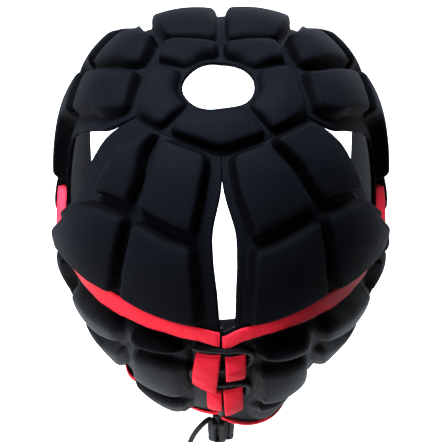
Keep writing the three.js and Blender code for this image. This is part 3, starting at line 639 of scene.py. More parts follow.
def writePattern(mesh, flat):
    for layer in list(mesh.uv_layers):
        mesh.uv_layers.remove(layer)
    layer = mesh.uv_layers.new(name="pattern")
    corners = np.empty(len(mesh.loops), dtype=np.int32)
    mesh.loops.foreach_get("vertex_index", corners)
    layer.data.foreach_set("uv", np.ascontiguousarray(flat[corners], dtype=np.float32).ravel())


# a flat slab of two faces, cut as a grid and ready to be laid on the form
def flatSlab(name, countU, countV):
    clearSelection()
    bpy.ops.mesh.primitive_grid_add(x_subdivisions=countU, y_subdivisions=countV, size=1)
    piece = lastAdded(name)
    editWholeMesh()
    bpy.ops.mesh.extrude_region_move(TRANSFORM_OT_translate={"value": (0, 0, 1)})
    bpy.ops.object.mode_set(mode="OBJECT")
    points = readPoints(piece.data)
    column = np.rint((points[:, 0] + 0.5) * countU).astype(int)
    row = np.rint((points[:, 1] + 0.5) * countV).astype(int)
    return piece, column, row, points[:, 2] > 0.5


# a ring of two faces, from a torus whose tube is opened into an outer and an inner face
def ringSlab(name, countU, countV):
    clearSelection()
    bpy.ops.mesh.primitive_torus_add(major_segments=countU, minor_segments=2 * (countV + 1))
    piece = lastAdded(name)
    number = np.arange(len(piece.data.vertices))
    column, place = number // (2 * (countV + 1)), number % (2 * (countV + 1))
    outer = place <= countV
    row = np.where(outer, place, 2 * countV + 1 - place)
    return piece, column, row, outer


def faceOutwards(piece):
    makeActive(piece)
    editWholeMesh()
    bpy.ops.mesh.normals_make_consistent(inside=False)
    bpy.ops.object.mode_set(mode="OBJECT")
    bpy.ops.object.shade_smooth()


# how steeply each point of the cover stands against the form: 0 on tops and hems, 1 on block sides; the knit
# uses it as the mask for painted shade on block sides
steepness = {"start": 0.94, "reach": 0.45}


def writeSteep(piece, spots):
    mesh = piece.data
    normals = np.empty(len(mesh.vertices) * 3)
    mesh.vertex_normals.foreach_get("vector", normals)
    facing = np.sum(normals.reshape(-1, 3) * headNormal(spots[:, 0], spots[:, 1]), axis=1)
    steep = ease((steepness["start"] - np.abs(facing)) / steepness["reach"])
    layer = mesh.attributes.new("steep", "FLOAT", "POINT")
    layer.data.foreach_set("value", np.ascontiguousarray(steep, dtype=np.float32))


def giveFinish(piece, material):
    piece.data.materials.clear()
    piece.data.materials.append(material)


# a finished piece takes the place of one solid
def enter(piece, node, material):
    giveFinish(piece, material)
    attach(piece, "root")
    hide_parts(node)


# the cover is puffed by a short cloth run on a coarse copy, and the fine panel takes its movement
puffing = {
    "scale": 2.6,          # mesh spacing of the coarse copy, against the fine panel's
    "frames": 14,
    "pressure": 3.0,
    "slack": -0.01,
    "loose": 0.985,        # how free the top of a block is
    "most": 1.6,           # largest movement
    "share": 0.8,          # of the movement that is kept
    "cloth": {
        "quality": 4, "mass": 0.25, "shear_stiffness": 8,
        "tension_stiffness": 18, "compression_stiffness": 10,
        "bending_stiffness": 0.4, "use_pressure": True, "pin_stiffness": 4,
    },
}


def puffMoves(at, plan, closed):
    placesU, placesV = panelPlaces(at, plan, puffing["scale"])
    outer, inner, _, rise = panelFaces(at, plan, placesU, placesV, closed)
    build = ringSlab if closed else flatSlab
    countU, countV = len(placesU) - 1, len(placesV) - 1
    piece, column, row, isOuter = build("puffTrial", countU, countV)
    start = np.where(isOuter[:, None], outer[column, row], inner[column, row]) * mm
    writePoints(piece.data, start)
    faceOutwards(piece)
    held = piece.vertex_groups.new(name="held")
    firm = np.where(isOuter, 1 - rise[column, row] * puffing["loose"], 1.0)
    for number, weight in enumerate(firm):
        held.add([number], float(weight), "REPLACE")
    makeActive(piece)
    bpy.ops.object.modifier_add(type="CLOTH")
    cloth = piece.modifiers[-1]
    for key, value in puffing["cloth"].items():
        setattr(cloth.settings, key, value)
    cloth.settings.uniform_pressure_force = puffing["pressure"] * plan.get("puff", 1.0)
    cloth.settings.shrink_min = plan.get("slack", puffing["slack"])
    cloth.settings.vertex_group_mass = "held"
    cloth.settings.effector_weights.gravity = 0
    cloth.collision_settings.use_collision = False
    cloth.point_cache.frame_start = 1
    cloth.point_cache.frame_end = puffing["frames"]
    for number in range(1, puffing["frames"] + 1):
        bpy.context.scene.frame_set(number)
    bpy.ops.object.modifier_apply(modifier=cloth.name)
    moved = readPoints(piece.data) - start
    bpy.context.scene.frame_set(1)
    length = np.linalg.norm(moved, axis=1, keepdims=True)
    most = plan.get("most", puffing["most"]) * mm
    moved *= np.minimum(1, most / np.maximum(length, 1e-9)) * puffing["share"]
    grid = np.zeros((countU + 1, countV + 1, 3))
    grid[column[isOuter], row[isOuter]] = moved[isOuter]
    if closed:
        grid[-1] = grid[0]
    bpy.data.objects.remove(piece)
    return placesU, placesV, grid / mm


def spreadMoves(moves, placesU, placesV):
    fromU, fromV, grid = moves
    partly = np.empty((len(placesU), len(fromV), 3))
    for axis in range(3):
        for j in range(len(fromV)):
            partly[:, j, axis] = np.interp(placesU, fromU, grid[:, j, axis])
    full = np.empty((len(placesU), len(placesV), 3))
    for axis in range(3):
        for i in range(len(placesU)):
            full[i, :, axis] = np.interp(placesV, fromV, partly[i, :, axis])
    for _ in range(2):
        full = smoothed(smoothed(full, 0), 1)
    return full


def smoothed(field, axis):
    field = np.moveaxis(field, axis, 0)
    inner = (field[:-2] + 2 * field[1:-1] + field[2:]) / 4
    return np.moveaxis(np.concatenate([field[:1], inner, field[-1:]]), 0, axis)


def makePanel(node, at, plan, material, flatten, closed=False):
    placesU, placesV = panelPlaces(at, plan, 1.0)
    outer, inner, spots, _ = panelFaces(at, plan, placesU, placesV, closed)
    outer = outer + spreadMoves(puffMoves(at, plan, closed), placesU, placesV)
    build = ringSlab if closed else flatSlab
    piece, column, row, isOuter = build(node + "_cover", len(placesU) - 1, len(placesV) - 1)
    points = np.where(isOuter[:, None], outer[column, row], inner[column, row])
    writePoints(piece.data, points * mm)
    writePattern(piece.data, flatten(points, spots[column, row]) * mm)
    faceOutwards(piece)
    writeSteep(piece, spots[column, row])
    enter(piece, node, material)
    plan.get("fill", padding["fill"])
    print("stage:", node, len(piece.data.polygons), "faces")


# flat patterns for the knit, so that its ribs run straight down each panel
patternRadius = 100


def meridianPattern(middleTurn):
    def flatten(points, spots):
        offset = (spots[:, 0] - middleTurn + 180) % 360 - 180
        radius = np.hypot(points[:, 0], points[:, 1])
        return np.stack([np.radians(offset) * radius, np.radians(spots[:, 1]) * patternRadius], axis=-1)

    return flatten


def topPattern(points, spots):
    return points[:, :2].copy()


def sidePattern(points, spots):
    return points[:, 1:].copy()


def mirrored(at, side):
    return lambda u, v: at(u, v) * np.array([side, 1.0])


# crown ring: five blocks round the opening
crownRing = {
    "columns": [(turn + 180) / 360 for turn in (-120, -40, 47, 120)],
    "rows": [],
    "sideMargins": (0.8, 0.8),
    "endMargins": (1.6, 1.7),
    "block": 7.4,
    "seed": 1.3,
    # the opening's edge, by turn
    "hole": [
        (-180, 8.1), (-135, 8.6), (-90, 9.0), (-45, 8.3), (0, 7.7), (45, 9.4), (90, 10.2), (135, 9.6),
        (180, 8.1),
    ],
    "ripple": 0.12,
    "overlap": 0.35,          # degrees that it reaches over its neighbours
    "lowTop": (0.5, 0.55),    # blocks are lower beside the opening: height left, and how far down
}
ringHole = dropAlong(crownRing["hole"])


def ringPlace(u, v):
    turn = blend(-180.0, 180.0, u)
    hole = ringHole(turn) + crownRing["ripple"] * np.sin(np.radians(5 * turn))
    return pair(turn, blend(hole, ringEdge(np.abs(turn)) + crownRing["overlap"], v))


def lowAtTop(share, reach):
    return lambda u, v: blend(share, 1, ease(v / reach))


plan = dict(crownRing, low=lowAtTop(*crownRing["lowTop"]))
makePanel("crown_ring", ringPlace, plan, knitCloth, topPattern, closed=True)


# brow: two columns of blocks with a deep groove between
browPanel = {
    "columns": [0.5],
    "rows": [0.56, 0.8],
    "sideMargins": (1.6, 1.6),
    "endMargins": (1.7, 4),
    "grooves": (1.6, 0.8),
    "bridge": 0.3,
    "block": 9,
    "seed": 2.1,
    "topTurns": (141.0, 219.0),
    "footTurns": (160.5, 199.5),
    "footDrop": 72,
    "lowTop": (0.6, 0.35),    # blocks are lower where they meet the ring
}


def browTop(u):
    turn = blend(*browPanel["topTurns"], u)
    return pair(turn, ringEdge(np.where(turn > 180, 360 - turn, turn)))


def browFoot(u):
    return pair(blend(*browPanel["footTurns"], u), browPanel["footDrop"])


def browFar(v):
    return browSide(v) * np.array([-1.0, 1.0]) + np.array([360.0, 0.0])


browPlace = pulledIn(edgePatch(browTop, browFoot, browSide, browFar), padding["joint"])
plan = dict(browPanel, low=lowAtTop(*browPanel["lowTop"]))
makePanel("brow_panel", browPlace, plan, knitCloth, meridianPattern(180))


# a column groove that wanders: its share of the panel's width, at shares of its height
def columnShift(u, v, column, shares):
    groove = tableAt(shares, v)
    return np.where(u < column, u / column * groove, blend(groove, 1, (u - column) / (1 - column)))


def wandering(at, column, shares):
    def place(u, v):
        u, v = evenArrays(u, v)
        return at(columnShift(u, v, column, shares), v)

    return place


# row grooves that slant: each has a table of its share of the panel's height, at shares of its width
def slanting(at, rows, tables):
    marks = [0, *rows, 1]

    def place(u, v):
        u, v = evenArrays(u, v)
        grooves = [0 * u, *(tableAt(table, u) for table in tables), 1 + 0 * u]
        moved = v
        for low, high, above, below in zip(marks[:-1], marks[1:], grooves[:-1], grooves[1:]):
            inside = (v >= low) & (v <= high)
            moved = np.where(inside, blend(above, below, (v - low) / (high - low)), moved)
        return at(u, moved)

    return place


# side panels: temple and side columns, slanting forward, with a flat rear edge
sidePanel = {
    "columns": [0.45],
    "rows": [0.45],
    "sideMargins": (5, [(0, 2.5), (0.1, 5), (0.25, 8), (0.45, 9.5), (1, 9)]),
    "endMargins": ([(0, 4.5), (0.4, 4.5), (0.5, 3.6), (1, 3.6)], 4.6),
    "grooves": (0.9, 0.9),
    "bridge": 0.2,
    "block": 11.2,
    "rowShares": (0.76, 1.0),
    "seed": 3.7,
    "column": [(0, 0.435), (0.2, 0.45), (0.45, 0.5), (1, 0.5)],
    "crease": [(0, 0.08), (0.06, 0.14), (0.12, 0.34), (0.2, 0.5), (0.45, 0.5), (1, 0.47)],
    "topTurns": (141.0, 76.4),
    "earTurns": (131.0, 95.5),
    "earStart": 0.45,         # share of the foot that lies on the brow
    "patternTurn": 118,
}


# the lower temple block thins out at its upper front corner
def templeLow(u, v):
    return 1 - 0.75 * ease((v - 0.4) / 0.1) * ease((0.24 - u) / 0.18) * ease((0.95 - v) / 0.3)


def sideTop(u):
    turn = blend(*sidePanel["topTurns"], u)
    return pair(turn, ringEdge(turn))


browEdge = lineThrough([(160.5, 72), (146, 78), (131, 83.2)])


def sideFoot(u):
    u = np.asarray(u, float)
    start = sidePanel["earStart"]
    turn = blend(*sidePanel["earTurns"], np.clip((u - start) / (1 - start), 0, 1))
    ear = pair(turn, guardTop(turn) + padding["tuck"])
    return np.where((u < start)[..., None], browEdge(u / start), ear)


sidePatch = edgePatch(sideTop, sideFoot, browSide, sideRear)
sideCreased = slanting(sidePatch, sidePanel["rows"], [sidePanel["crease"]])
sidePlace = wandering(sideCreased, sidePanel["columns"][0], sidePanel["column"])
for word, side in sides:
    place = mirrored(pulledIn(sidePlace, padding["joint"]), side)
    plan = dict(sidePanel, seed=sidePanel["seed"] + side, low=templeLow)
    makePanel("side_panel_" + word, place, plan, knitCloth, meridianPattern(sidePanel["patternTurn"] * side))


# rear flaps: two by two blocks each side of the slit
rearFlap = {
    "columns": [0.46],
    "rows": [0.52],
    # hem widths at shares of the height, on each side
    "slitHems": {
        1: [(0, 5), (0.3, 7), (0.52, 6.8), (1, 8)],
        -1: [(0, 3), (0.35, 4.4), (0.52, 6), (0.63, 4.8), (1, 4.3)],
    },
    "outerHems": {
        1: [(0, 16), (0.25, 19), (0.5, 22), (0.58, 12), (1, 8)],
        -1: [(0, 6), (0.5, 10), (1, 8)],
    },
    "endMargins": (1.7, [(0, 4.4), (0.5, 4.8), (0.68, 6.5), (0.82, 9), (1, 10)]),
    "grooves": (1.1, 1.9),
    "block": 10.2,
    "seed": 5.2,
    "column": {
        1: [(0, 0.595), (0.06, 0.578), (0.285, 0.515), (0.5, 0.48), (0.7, 0.427), (0.87, 0.39), (1, 0.385)],
        -1: [(0, 0.43), (0.04, 0.44), (0.26, 0.508), (0.5, 0.532), (0.675, 0.465), (0.84, 0.398), (1, 0.382)],
    },
    "crease": [
        (0, 0.58), (0.1, 0.57), (0.25, 0.554), (0.39, 0.528), (0.51, 0.495), (0.67, 0.467), (0.87, 0.47),
        (1, 0.47),
    ],
    # the outer edge stands off near its foot
    "tip": {"stand": 3.0, "start": 0.86, "reach": 0.14, "down": 0.8, "spread": 0.09},
    "patternTurn": 30,
}


def tipLift(u, v):
    tip = rearFlap["tip"]
    beside = ease((u - tip["start"]) / tip["reach"])
    return tip["stand"] * beside * np.exp(-((v - tip["down"]) / tip["spread"]) ** 2)


def flapPlace(side):
    slit = slitLine[side]

    def top(u):
        turn = blend(slit(0.0)[0], flapOuter(0.0)[0], u)
        return pair(turn, blend(slit(0.0)[1], ringEdge(turn), np.minimum(1, u * 8)))

    def foot(u):
        turn = blend(slit(1.0)[0], flapOuter(1.0)[0], u)
        return pair(turn, guardTop(turn) + padding["tuck"])

    creased = slanting(edgePatch(top, foot, slit, flapOuter), rearFlap["rows"], [rearFlap["crease"]])
    return pulledIn(wandering(creased, rearFlap["columns"][0], rearFlap["column"][side]), padding["joint"])


for word, side in sides:
    plan = dict(rearFlap, seed=rearFlap["seed"] + side, stand=tipLift,
                sideMargins=(rearFlap["slitHems"][side], rearFlap["outerHems"][side]))
    pattern = meridianPattern(rearFlap["patternTurn"] * side)
    makePanel("rear_flap_" + word, mirrored(flapPlace(side), side), plan, knitCloth, pattern)


# nape guards: creased blocks drawn in by the lacing
napeGuard = {
    "columns": [0.47],
    "rows": [0.35, 0.7],
    "sideMargins": (15, 3),
    "endMargins": ([(0, 11), (0.3, 12), (0.5, 15.5), (0.8, 17), (1, 17)], 3),
    "grooves": (0.8, 0.8),
    "block": 10.8,
    "bridge": 0.4,
    "seed": 7.9,
    "slope": 8.5,
    "corner": 9,
    "pucker": 0.5,
    "column": [(0, 0.42), (0.35, 0.46), (0.7, 0.56), (1, 0.6)],
    # upper and lower crease on each side
    "creases": {
        1: [
            [(0, 0.2), (0.15, 0.21), (0.26, 0.24), (0.39, 0.31), (0.55, 0.47), (0.7, 0.62), (0.85, 0.72),
             (1, 0.78)],
            [(0, 0.63), (0.18, 0.66), (0.3, 0.71), (0.4, 0.77), (0.5, 0.83), (0.6, 0.89), (1, 0.93)],
        ],
        -1: [
            [(0, 0.22), (0.17, 0.24), (0.27, 0.3), (0.39, 0.35), (0.55, 0.47), (0.79, 0.69), (1, 0.78)],
            [(0, 0.62), (0.19, 0.66), (0.29, 0.75), (0.4, 0.84), (0.55, 0.89), (1, 0.93)],
        ],
    },
    "turns": (-0.4, 67.6),
    "thinFoot": {1: 0.1, -1: 0.55},      # height that blocks lose above the rim, beside the lacing
    "thinOuter": 0.15,                   # and toward the lower outer corner
    "dips": {1: 1.0, -1: 2.6},           # degrees that the upper edge hangs lower at the lacing
    "dipTurn": 9,
    "patternTurn": 30,
    "puff": 1.2,
    "slack": -0.06,
    "most": 2.6,
    "fill": 0.6,
}


def napeLow(side):
    foot = napeGuard["thinFoot"][side]

    def low(u, v):
        outer = napeGuard["thinOuter"] * ease((v - 0.35) / 0.3) * ease((u - 0.45) / 0.3)
        return 1 - outer - foot * ease((v - 0.72) / 0.1) * ease((0.62 - u) / 0.1)

    return low


# the lower rim stands off the neck in one place on each side, by shares of its length
rimFlare = {
    1: {"reach": 5, "sag": 0, "start": 0.42, "width": 0.3},
    -1: {"reach": 9.5, "sag": 4.2, "start": -0.1, "width": 0.66},
}


def flareAt(side, u):
    flare = rimFlare[side]
    share = np.clip((np.asarray(u, float) - flare["start"]) / flare["width"], 0, 1)
    return np.sin(share * np.pi) ** 2


def rimPlace(side):
    return lambda u: napeRim(u) + pair(0.0, rimFlare[side]["sag"] * flareAt(side, u))


def tapeLine(side, turn):
    turn = np.abs(np.asarray(turn, float))
    reach = napeGuard["dipTurn"]
    return guardTop(turn) + napeGuard["dips"][side] * ease((reach - turn) / reach) ** 2


def napeTop(side):
    def top(u):
        turn = blend(*napeGuard["turns"], u)
        return pair(turn, tapeLine(side, turn))

    return top


def napeNear(side):
    turn = napeGuard["turns"][0]
    return lambda v: pair(turn, blend(tapeLine(side, turn), napeRim(0.0)[1], v))


def napeFar(v):
    turn = napeGuard["turns"][1]
    return pair(turn, blend(guardTop(turn), napeRim(1.0)[1], v))


def rimStand(side):
    def stand(u, v):
        along = columnShift(u, v, napeGuard["columns"][0], napeGuard["column"])
        return rimFlare[side]["reach"] * flareAt(side, along) * np.clip(v, 0, 1) ** 6

    return stand


for word, side in sides:
    patch = edgePatch(napeTop(side), rimPlace(side), napeNear(side), napeFar)
    creased = slanting(patch, napeGuard["rows"], napeGuard["creases"][side])
    place = pulledIn(wandering(creased, napeGuard["columns"][0], napeGuard["column"]), padding["joint"])
    plan = dict(napeGuard, seed=napeGuard["seed"] + side, low=napeLow(side), stand=rimStand(side))
    pattern = meridianPattern(napeGuard["patternTurn"] * side)
    makePanel("nape_guard_" + word, mirrored(place, side), plan, napeCloth, pattern)


# ear guards: blocks round an ear hole
earGuard = {
    "columns": [i / 6 for i in range(1, 6)],
    "rows": [],
    "sideMargins": (0.8, 0.8),
    "endMargins": (2, 10),
    "block": 9,
    "seed": 9.4,
    "topTurns": (66.8, 75, 84, 91, 97, 105, 113, 121, 129),
    "edge": [(129, 97), (123, 114), (110, 126.5), (92, 128.5), (78, 125.5), (67.2, 121), (66.8, 104)],
    "hole": (97, 107.5),
    "holeHalf": (10.5, 8),
    "topGap": 0.1,
}


def earRim():
    top = [(turn, float(guardTop(turn)) + earGuard["topGap"]) for turn in earGuard["topTurns"]]
    rows = top + earGuard["edge"]
    count = len(rows)
    looped = lineThrough(rows[-2:] + rows + rows[:3])
    dense = looped(np.linspace(2 / (count + 4), (count + 2) / (count + 4), 1200))
    steps = runAlong(dense)
    steps /= steps[-1]
    return lambda u: pair(np.interp(u, steps, dense[:, 0]), np.interp(u, steps, dense[:, 1]))


earEdge = earRim()


def earPlace(u, v):
    u, v = evenArrays(u, v)
    rim = earEdge(u)
    middle, half = np.array(earGuard["hole"]), np.array(earGuard["holeHalf"])
    hole = middle + half * unit((rim - middle) / half)
    return blend(hole, rim, v[..., None])


for word, side in sides:
    plan = dict(earGuard, seed=earGuard["seed"] + side)
    makePanel("ear_guard_" + word, mirrored(earPlace, side), plan, knitCloth, sidePattern, closed=True)
print("stage: padded panels made")


# strips of tape and webbing: a slab laid between two edge lines, with rounded edges

def makeStrip(name, node, place, size, material):
    length, width, thickness = size
    countU, countV = max(8, int(length / 1.1)), 10
    piece, column, row, isOuter = flatSlab(name, countU, countV)
    along = np.linspace(0, 1, countU + 1)
    across = 0.5 - 0.5 * np.cos(np.linspace(0, np.pi, countV + 1))
    t, w = along[column], across[row]
    edge = np.minimum(np.minimum(w, 1 - w) * width, np.minimum(t, 1 - t) * length)
    rounded = np.sqrt(1 - (1 - np.clip(edge / (thickness * 0.6), 0, 1)) ** 2)
    half = thickness / 2
    depth = np.where(isOuter, half + half * rounded, half - half * rounded)
    writePoints(piece.data, place(t, w, depth) * mm)
    writePattern(piece.data, np.stack([t * length, w * width], axis=-1) * mm)
    faceOutwards(piece)
    enter(piece, node, material)


bandTape = {
    "size": (165, 12, 1.2),      # length, pattern width, thickness
    "ventThickness": 4.8,
    "ventTurns": (66, 14),       # where it thickens, and over how many degrees
    "lift": 2.7,
    "startTurn": 0.4,
    "endTurn": 104,
    "inset": 0.25,               # degrees below the nape's upper edge
    "extraWidth": 0.4,
    # widths by turn
    "widths": {
        1: [
            (0.4, 9), (7, 8), (16, 8.5), (25, 11), (34, 14), (45, 15.5),
            (54, 15.5), (62, 14), (70, 9.5), (78, 5), (86, 2.8), (104, 2.8),
        ],
        -1: [
            (0.4, 10), (6, 8), (13, 7), (20, 8), (30, 11.5), (40, 14),
            (52, 14), (62, 12.5), (70, 9), (78, 5), (86, 2.8), (104, 2.8),
        ],
    },
}
perDegree = math.radians(headForm["back"])     # millimetres for a degree of drop, at the back


def bandPlace(side):
    thicker = bandTape["ventThickness"] / bandTape["size"][2]
    ventTurn, ventReach = bandTape["ventTurns"]

    def place(t, w, depth):
        turn = blend(bandTape["startTurn"], bandTape["endTurn"], t)
        width = tableAt(bandTape["widths"][side], turn)
        top = tapeLine(side, turn) + bandTape["inset"]
        drop = top + w * (width + bandTape["extraWidth"]) / perDegree
        # the tape is a little wavy and its lower edge turns in
        wave = 0.25 * np.sin(turn * 0.55 + 1.2 * side) + 0.12 * np.sin(turn * 1.7)
        depth = depth * blend(1, thicker, ease((turn - ventTurn) / ventReach))
        lift = bandTape["lift"] + depth + 0.35 * wave * w + 0.5 * np.sin(w * np.pi)
        return headSkin(turn * side, drop + 0.12 * wave, lift)

    return place


for word, side in sides:
    makeStrip("bandTape_" + word, "band_tape_" + word, bandPlace(side), bandTape["size"], redTape)


# binding that wraps the lower rim
napeBinding = {
    "from": 0.008,
    "to": 0.985,
    "length": 105,
    "wave": 0.3,
    # corners of its section, in degrees below the rim and height: inside, over the panel's web, underneath
    "inside": (0.3, 0.1),
    "overWeb": [(0.3, 0.3), (-1.9, 0.3), (-1.9, 1.3), (0.4, 1.9), (2.3, 1.1)],
    "under": (2.2, 0.5),
}


def sweptTube(name, rings, patternLength):
    count, corners = len(rings), len(rings[0])
    clearSelection()
    bpy.ops.mesh.primitive_grid_add(x_subdivisions=count - 1, y_subdivisions=corners, size=1)
    piece = lastAdded(name)
    flat = readPoints(piece.data)
    column = np.rint((flat[:, 0] + 0.5) * (count - 1)).astype(int)
    row = np.rint((flat[:, 1] + 0.5) * corners).astype(int)
    stack = np.array(rings)
    writePoints(piece.data, stack[column, row % corners] * mm)
    writePattern(piece.data, np.stack([column / (count - 1) * patternLength * mm, row / corners], axis=-1))
    editWholeMesh()
    bpy.ops.mesh.remove_doubles(threshold=1e-6)
    bpy.ops.mesh.fill_holes(sides=0)
    bpy.ops.object.mode_set(mode="OBJECT")
    faceOutwards(piece)
    return piece


def bindingRings(side):
    over = [(drop, padding["web"] + lift) for drop, lift in napeBinding["overWeb"]]
    corners = [napeBinding["inside"]] + over + [napeBinding["under"]]
    closed = np.array(corners + corners[:1], float)
    # corners are cut twice so that the bead is round
    for _ in range(2):
        a, b = closed[:-1], closed[1:]
        cut = np.stack([a * 0.75 + b * 0.25, a * 0.25 + b * 0.75], axis=1).reshape(-1, 2)
        closed = np.vstack([cut, cut[:1]])
    ring = closed[:-1]
    rings = []
    for share in np.linspace(0, 1, 70):
        place = blend(napeBinding["from"], napeBinding["to"], share)
        turn, drop = rimPlace(side)(place)
        flare = rimFlare[side]["reach"] * float(flareAt(side, place))
        stand = flare + napeBinding["wave"] * math.sin(share * 23)
        rings.append(headSkin(np.full(len(ring), turn * side), drop + ring[:, 0], ring[:, 1] + stand))
    return rings


for word, side in sides:
    binding = sweptTube("napeBinding_" + word, bindingRings(side), napeBinding["length"])
    enter(binding, "nape_binding_" + word, redTape)


# ribbon loops that the lace runs through
laceLoops = [
    {"node": "lace_loop_upper_left", "side": 1, "near": 0.1, "far": 7.3, "top": 80.3, "foot": 95.9,
     "lean": 1.4, "skew": -5.5, "lie": 6.2, "tilt": 0.8},
    {"node": "lace_loop_upper_right", "side": -1, "near": 1.2, "far": 7.2, "top": 81.2, "foot": 92.4,
     "lean": 0.3, "skew": 0.4, "lie": 2.8, "tilt": -1.4},
    {"node": "lace_loop_lower_left", "side": 1, "near": -0.2, "far": 4.6, "top": 99, "foot": 112,
     "lean": -0.3, "skew": 0.2, "lie": 2.8, "tilt": -0.8},
    {"node": "lace_loop_lower_right", "side": -1, "near": 0.7, "far": 7.2, "top": 98.8, "foot": 117,
     "lean": 1.0, "skew": -1.6, "lie": 2.8, "tilt": -1.4},
]
loopShape = {"thickness": 1.0, "foot": 2.8, "arch": 7.4, "extraLength": 8}


def loopPlace(look):
    def place(t, w, depth):
        turn = blend(look["near"], look["far"], w) + look["lean"] * t
        drop = blend(look["top"], look["foot"], t) + look["skew"] * (w - 0.5) * t
        ends = blend(loopShape["foot"], look["lie"], ease(t))
        arch = blend(ends, loopShape["arch"], np.sin(np.clip(t, 0, 1) * np.pi) ** 0.6)
        slope = look["tilt"] * (w - 0.5) * 2 * np.sin(np.clip(t, 0, 1) * np.pi)      # one edge stands higher
        crease = 0.25 * np.sin(t * 17 + look["near"]) * np.sin(w * 5 + look["far"])
        return headSkin(turn * look["side"], drop, arch + depth + slope + crease + 0.35 * np.sin(w * np.pi))

    return place


for look in laceLoops:
    length = (look["foot"] - look["top"]) * perDegree
    width = (look["far"] - look["near"]) * perDegree
    size = (length + loopShape["extraLength"], width, loopShape["thickness"])
    makeStrip(look["node"] + "_ribbon", look["node"], loopPlace(look), size, redTape)


# lace, knot, bow and loose end
lace = {"radius": 1.5, "lift": 4.5, "sides": 16}
laceRoute = [
    (8.4, 77.7), (4, 77.7), (-2, 77.9), (-6, 78.4), (-8.8, 80.4), (-8.8, 84), (-6, 86.2), (0, 86.4),
    (6, 86.6), (8.8, 88.6), (8.8, 92), (6, 94.5), (0, 94.7), (-6, 95), (-8.8, 97), (-8.8, 102.2), (-6, 104.8),
    (-2.2, 106), (-0.2, 109), (0, 113), (0, 121.6),
]
knotPlace = {
    "turn": 0, "drop": 125.6, "lift": 5.0, "radius": 3.4, "halfWidth": 4.9,
    "scale": (1.25, 1.1, 1.05),
    "cordShare": 0.92,        # the knot's cord is drawn a little thinner
}
bowShape = {
    "length": 20,
    "inKnot": 1.2,
    "strand": [(0.6, 0), (0.95, 3), (1.05, 8)],      # share of x, and millimetres down, out of the knot
    # name, x of both strands, depth, share of the length
    "loops": [
        ("left", 5.6, 2.6, 0.3, 1.0), ("right", -5.6, -2.6, -0.3, 0.96),
        ("middle", 1.6, -1.6, 0.8, 1.02), ("back", 3.4, -3.4, -2.6, 0.9), ("front", 4.0, -0.4, 2.9, 0.8),
    ],
}
tailEnd = {
    "across": 12.5, "back": 3, "down": 27, "gap": 0.4,
    "shares": [(0, 0.3, 0), (0.3, 0.8, 0.1), (0.62, 1, 0.36), (0.86, 1, 0.68), (1, 0.9, 1)],
}


def roundCord(name, node, points, radius):
    points = np.asarray(points, float)
    count = max(12, int(runAlong(points)[-1] / 0.8))
    smooth = lineThrough(points)(np.linspace(0, 1, 40 * len(points)))
    run = runAlong(smooth)
    even = np.linspace(0, run[-1], count)
    centres = np.stack([np.interp(even, run, smooth[:, k]) for k in range(3)], axis=-1)
    ahead = unit(np.gradient(centres, axis=0))
    normal = np.cross(ahead[0], [0.31, 0.77, 0.55])
    rings = []
    for centre, way in zip(centres, ahead):
        normal = normal - way * normal.dot(way)
        normal /= np.linalg.norm(normal)
        other = np.cross(way, normal)
        angles = np.linspace(0, 2 * np.pi, lace["sides"], endpoint=False)
        rings.append(centre + radius * (np.cos(angles)[:, None] * normal + np.sin(angles)[:, None] * other))
    # ends are drawn in so that they are rounded
    for end, into in ((0, 1), (-1, -2)):
        rings[end] = centres[end] + (rings[end] - centres[end]) * 0.55
        rings[into] = centres[into] + (rings[into] - centres[into]) * 0.93
    piece = sweptTube(name, rings, run[-1])
    enter(piece, node, blackBraid)
    return piece, centres, run[-1]


turns = np.array(laceRoute)
threadedPoints = headSkin(turns[:, 0], turns[:, 1], np.full(len(turns), lace["lift"]))
roundCord("threadedLace", "lace", threadedPoints, lace["radius"])

knotCentre = headSkin(np.array(knotPlace["turn"]), np.array(knotPlace["drop"]), knotPlace["lift"])
spin = np.linspace(0, 2 * np.pi, 60)
knotLine = np.stack([
    np.sin(spin) + 2 * np.sin(2 * spin), -np.sin(3 * spin), np.cos(spin) - 2 * np.cos(2 * spin),
], axis=-1)
knotPoints = knotCentre + knotLine * np.array(knotPlace["scale"])
roundCord("laceKnot", "lace_knot", knotPoints, lace["radius"] * knotPlace["cordShare"])


def bowLine(near, far, depth, share):
    top = knotCentre[2] - knotPlace["radius"] + bowShape["inKnot"]
    low = top - bowShape["length"] * share
    middle, half = (near + far) / 2, (far - near) / 2

    def strand(x):
        return [(x * part, top - down) for part, down in bowShape["strand"]] + [(x, low + 4), (x, low)]

    angles = np.linspace(0.5, math.pi - 0.5, 5)
    bend = [(middle - half * math.cos(a), low - abs(half) * math.sin(a)) for a in angles]
    line = strand(near) + bend + strand(far)[::-1]
    return [(knotCentre[0] + x, knotCentre[1] + depth, z) for x, z in line]


# loops drawn through the knot lie on each other in one full bundle
for word, near, far, depth, share in bowShape["loops"]:
    roundCord("laceBow_" + word, "lace_bow", bowLine(near, far, depth, share), lace["radius"])

tailStart = knotPlace["halfWidth"] + tailEnd["gap"]
tailPoints = [(knotCentre[0] + tailStart + a * tailEnd["across"], knotCentre[1] + b * tailEnd["back"],
               knotCentre[2] - c * tailEnd["down"]) for a, b, c in tailEnd["shares"]]
tail, tailLine, tailLength = roundCord("laceTail", "lace_tail", tailPoints, lace["radius"])
[tuple(p) for p in tailLine * mm]
print("stage: lace threaded, tail length", round(tailLength, 1), "mm")


# chin strap, in two halves that lie on each other
chinStrap = {
    "width": 22,
    "thickness": 2.2,
    "tuck": -3.7,
    "over": -0.6,             # lift of the half that lies outside
    "middle": (0, -27, -150),      # the strap faces away from here
    # share of the route where a half starts and stops, and its length
    "right": (0.15, 1, 230),
    "left": (0, 0.3, 80),
    "route": [
        (74.4, -27, -150.5), (70.3, -27, -163), (65, -26, -182),
        (54, -23, -206), (31, -18, -233), (0, -16, -243),
    ],
}


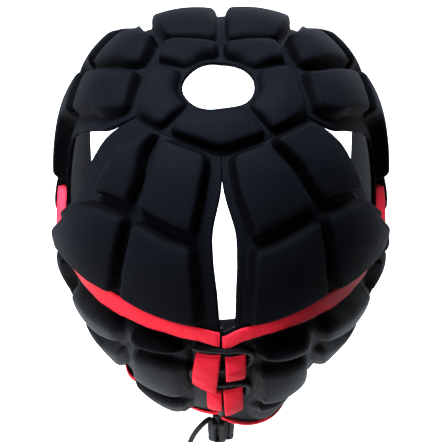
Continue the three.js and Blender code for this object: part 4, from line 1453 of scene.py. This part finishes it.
def strapPlace(start, stop, lift):
    half = np.array(chinStrap["route"], float)
    route = np.vstack([half, half[-2::-1] * np.array([-1, 1, 1])])
    dense = lineThrough(route)(np.linspace(0, 1, 1500))
    run = runAlong(dense)
    run /= run[-1]

    def spot(t):
        return np.stack([np.interp(t, run, dense[:, k]) for k in range(3)], axis=-1)

    def place(t, w, depth):
        t = blend(start, stop, t)
        centre = spot(t)
        ahead = unit(spot(np.minimum(t + 0.004, 1)) - spot(np.maximum(t - 0.004, 0)))
        inward = np.array(chinStrap["middle"]) - centre
        across = unit(np.cross(ahead, inward))
        outward = np.cross(ahead, across)
        outward *= -np.sign(np.sum(outward * inward, axis=1, keepdims=True))
        bow = 0.5 * np.sin(w * np.pi)
        sideways = across * ((w - 0.5) * chinStrap["width"])[:, None]
        return centre + sideways + outward * (lift(t) + depth + bow)[:, None]

    return place


def overTheOther(t):
    return blend(chinStrap["over"], chinStrap["tuck"], ease((t - 0.32) / 0.12))


def underTheOther(t):
    return chinStrap["tuck"] + 0 * t


for word, lift in (("right", overTheOther), ("left", underTheOther)):
    first, last, length = chinStrap[word]
    size = (length, chinStrap["width"], chinStrap["thickness"])
    place = strapPlace(first, last, lift)
    makeStrip("chinStrap_" + word, "chin_strap_" + word, place, size, strapWeb)
print("stage: strap made")


# floor and light

clearSelection()
floorPlace = (0, 0, cadBox[0][2] - studio["floorDrop"])
bpy.ops.mesh.primitive_plane_add(size=studio["floorSize"], location=floorPlace)
floor = lastAdded("paleFloor")
giveFinish(floor, floorFinish())
floor.visible_diffuse = False      # the pale floor shows, and does not light the dark cloth from below

clearSelection()
bpy.ops.mesh.primitive_uv_sphere_add(
    segments=64, ring_count=32, radius=studio["backdropRadius"], location=(0, 0, 0))
backdrop = lastAdded("paleBackdrop")
bpy.ops.object.shade_smooth()
giveFinish(backdrop, backdropFinish())
backdrop.visible_diffuse = False
backdrop.visible_glossy = False
backdrop.visible_shadow = False

for light in studio["lights"]:
    addSoftLight(light)
sky = bpy.context.scene.world or bpy.data.worlds.new("studioSky")
bpy.context.scene.world = sky
sky.use_nodes = True
background = sky.node_tree.nodes["Background"]
background.inputs["Color"].default_value = (1, 1, 1, 1)
background.inputs["Strength"].default_value = studio["skyStrength"]
bpy.context.scene.view_settings.view_transform = "Standard"
print("stage: light set")
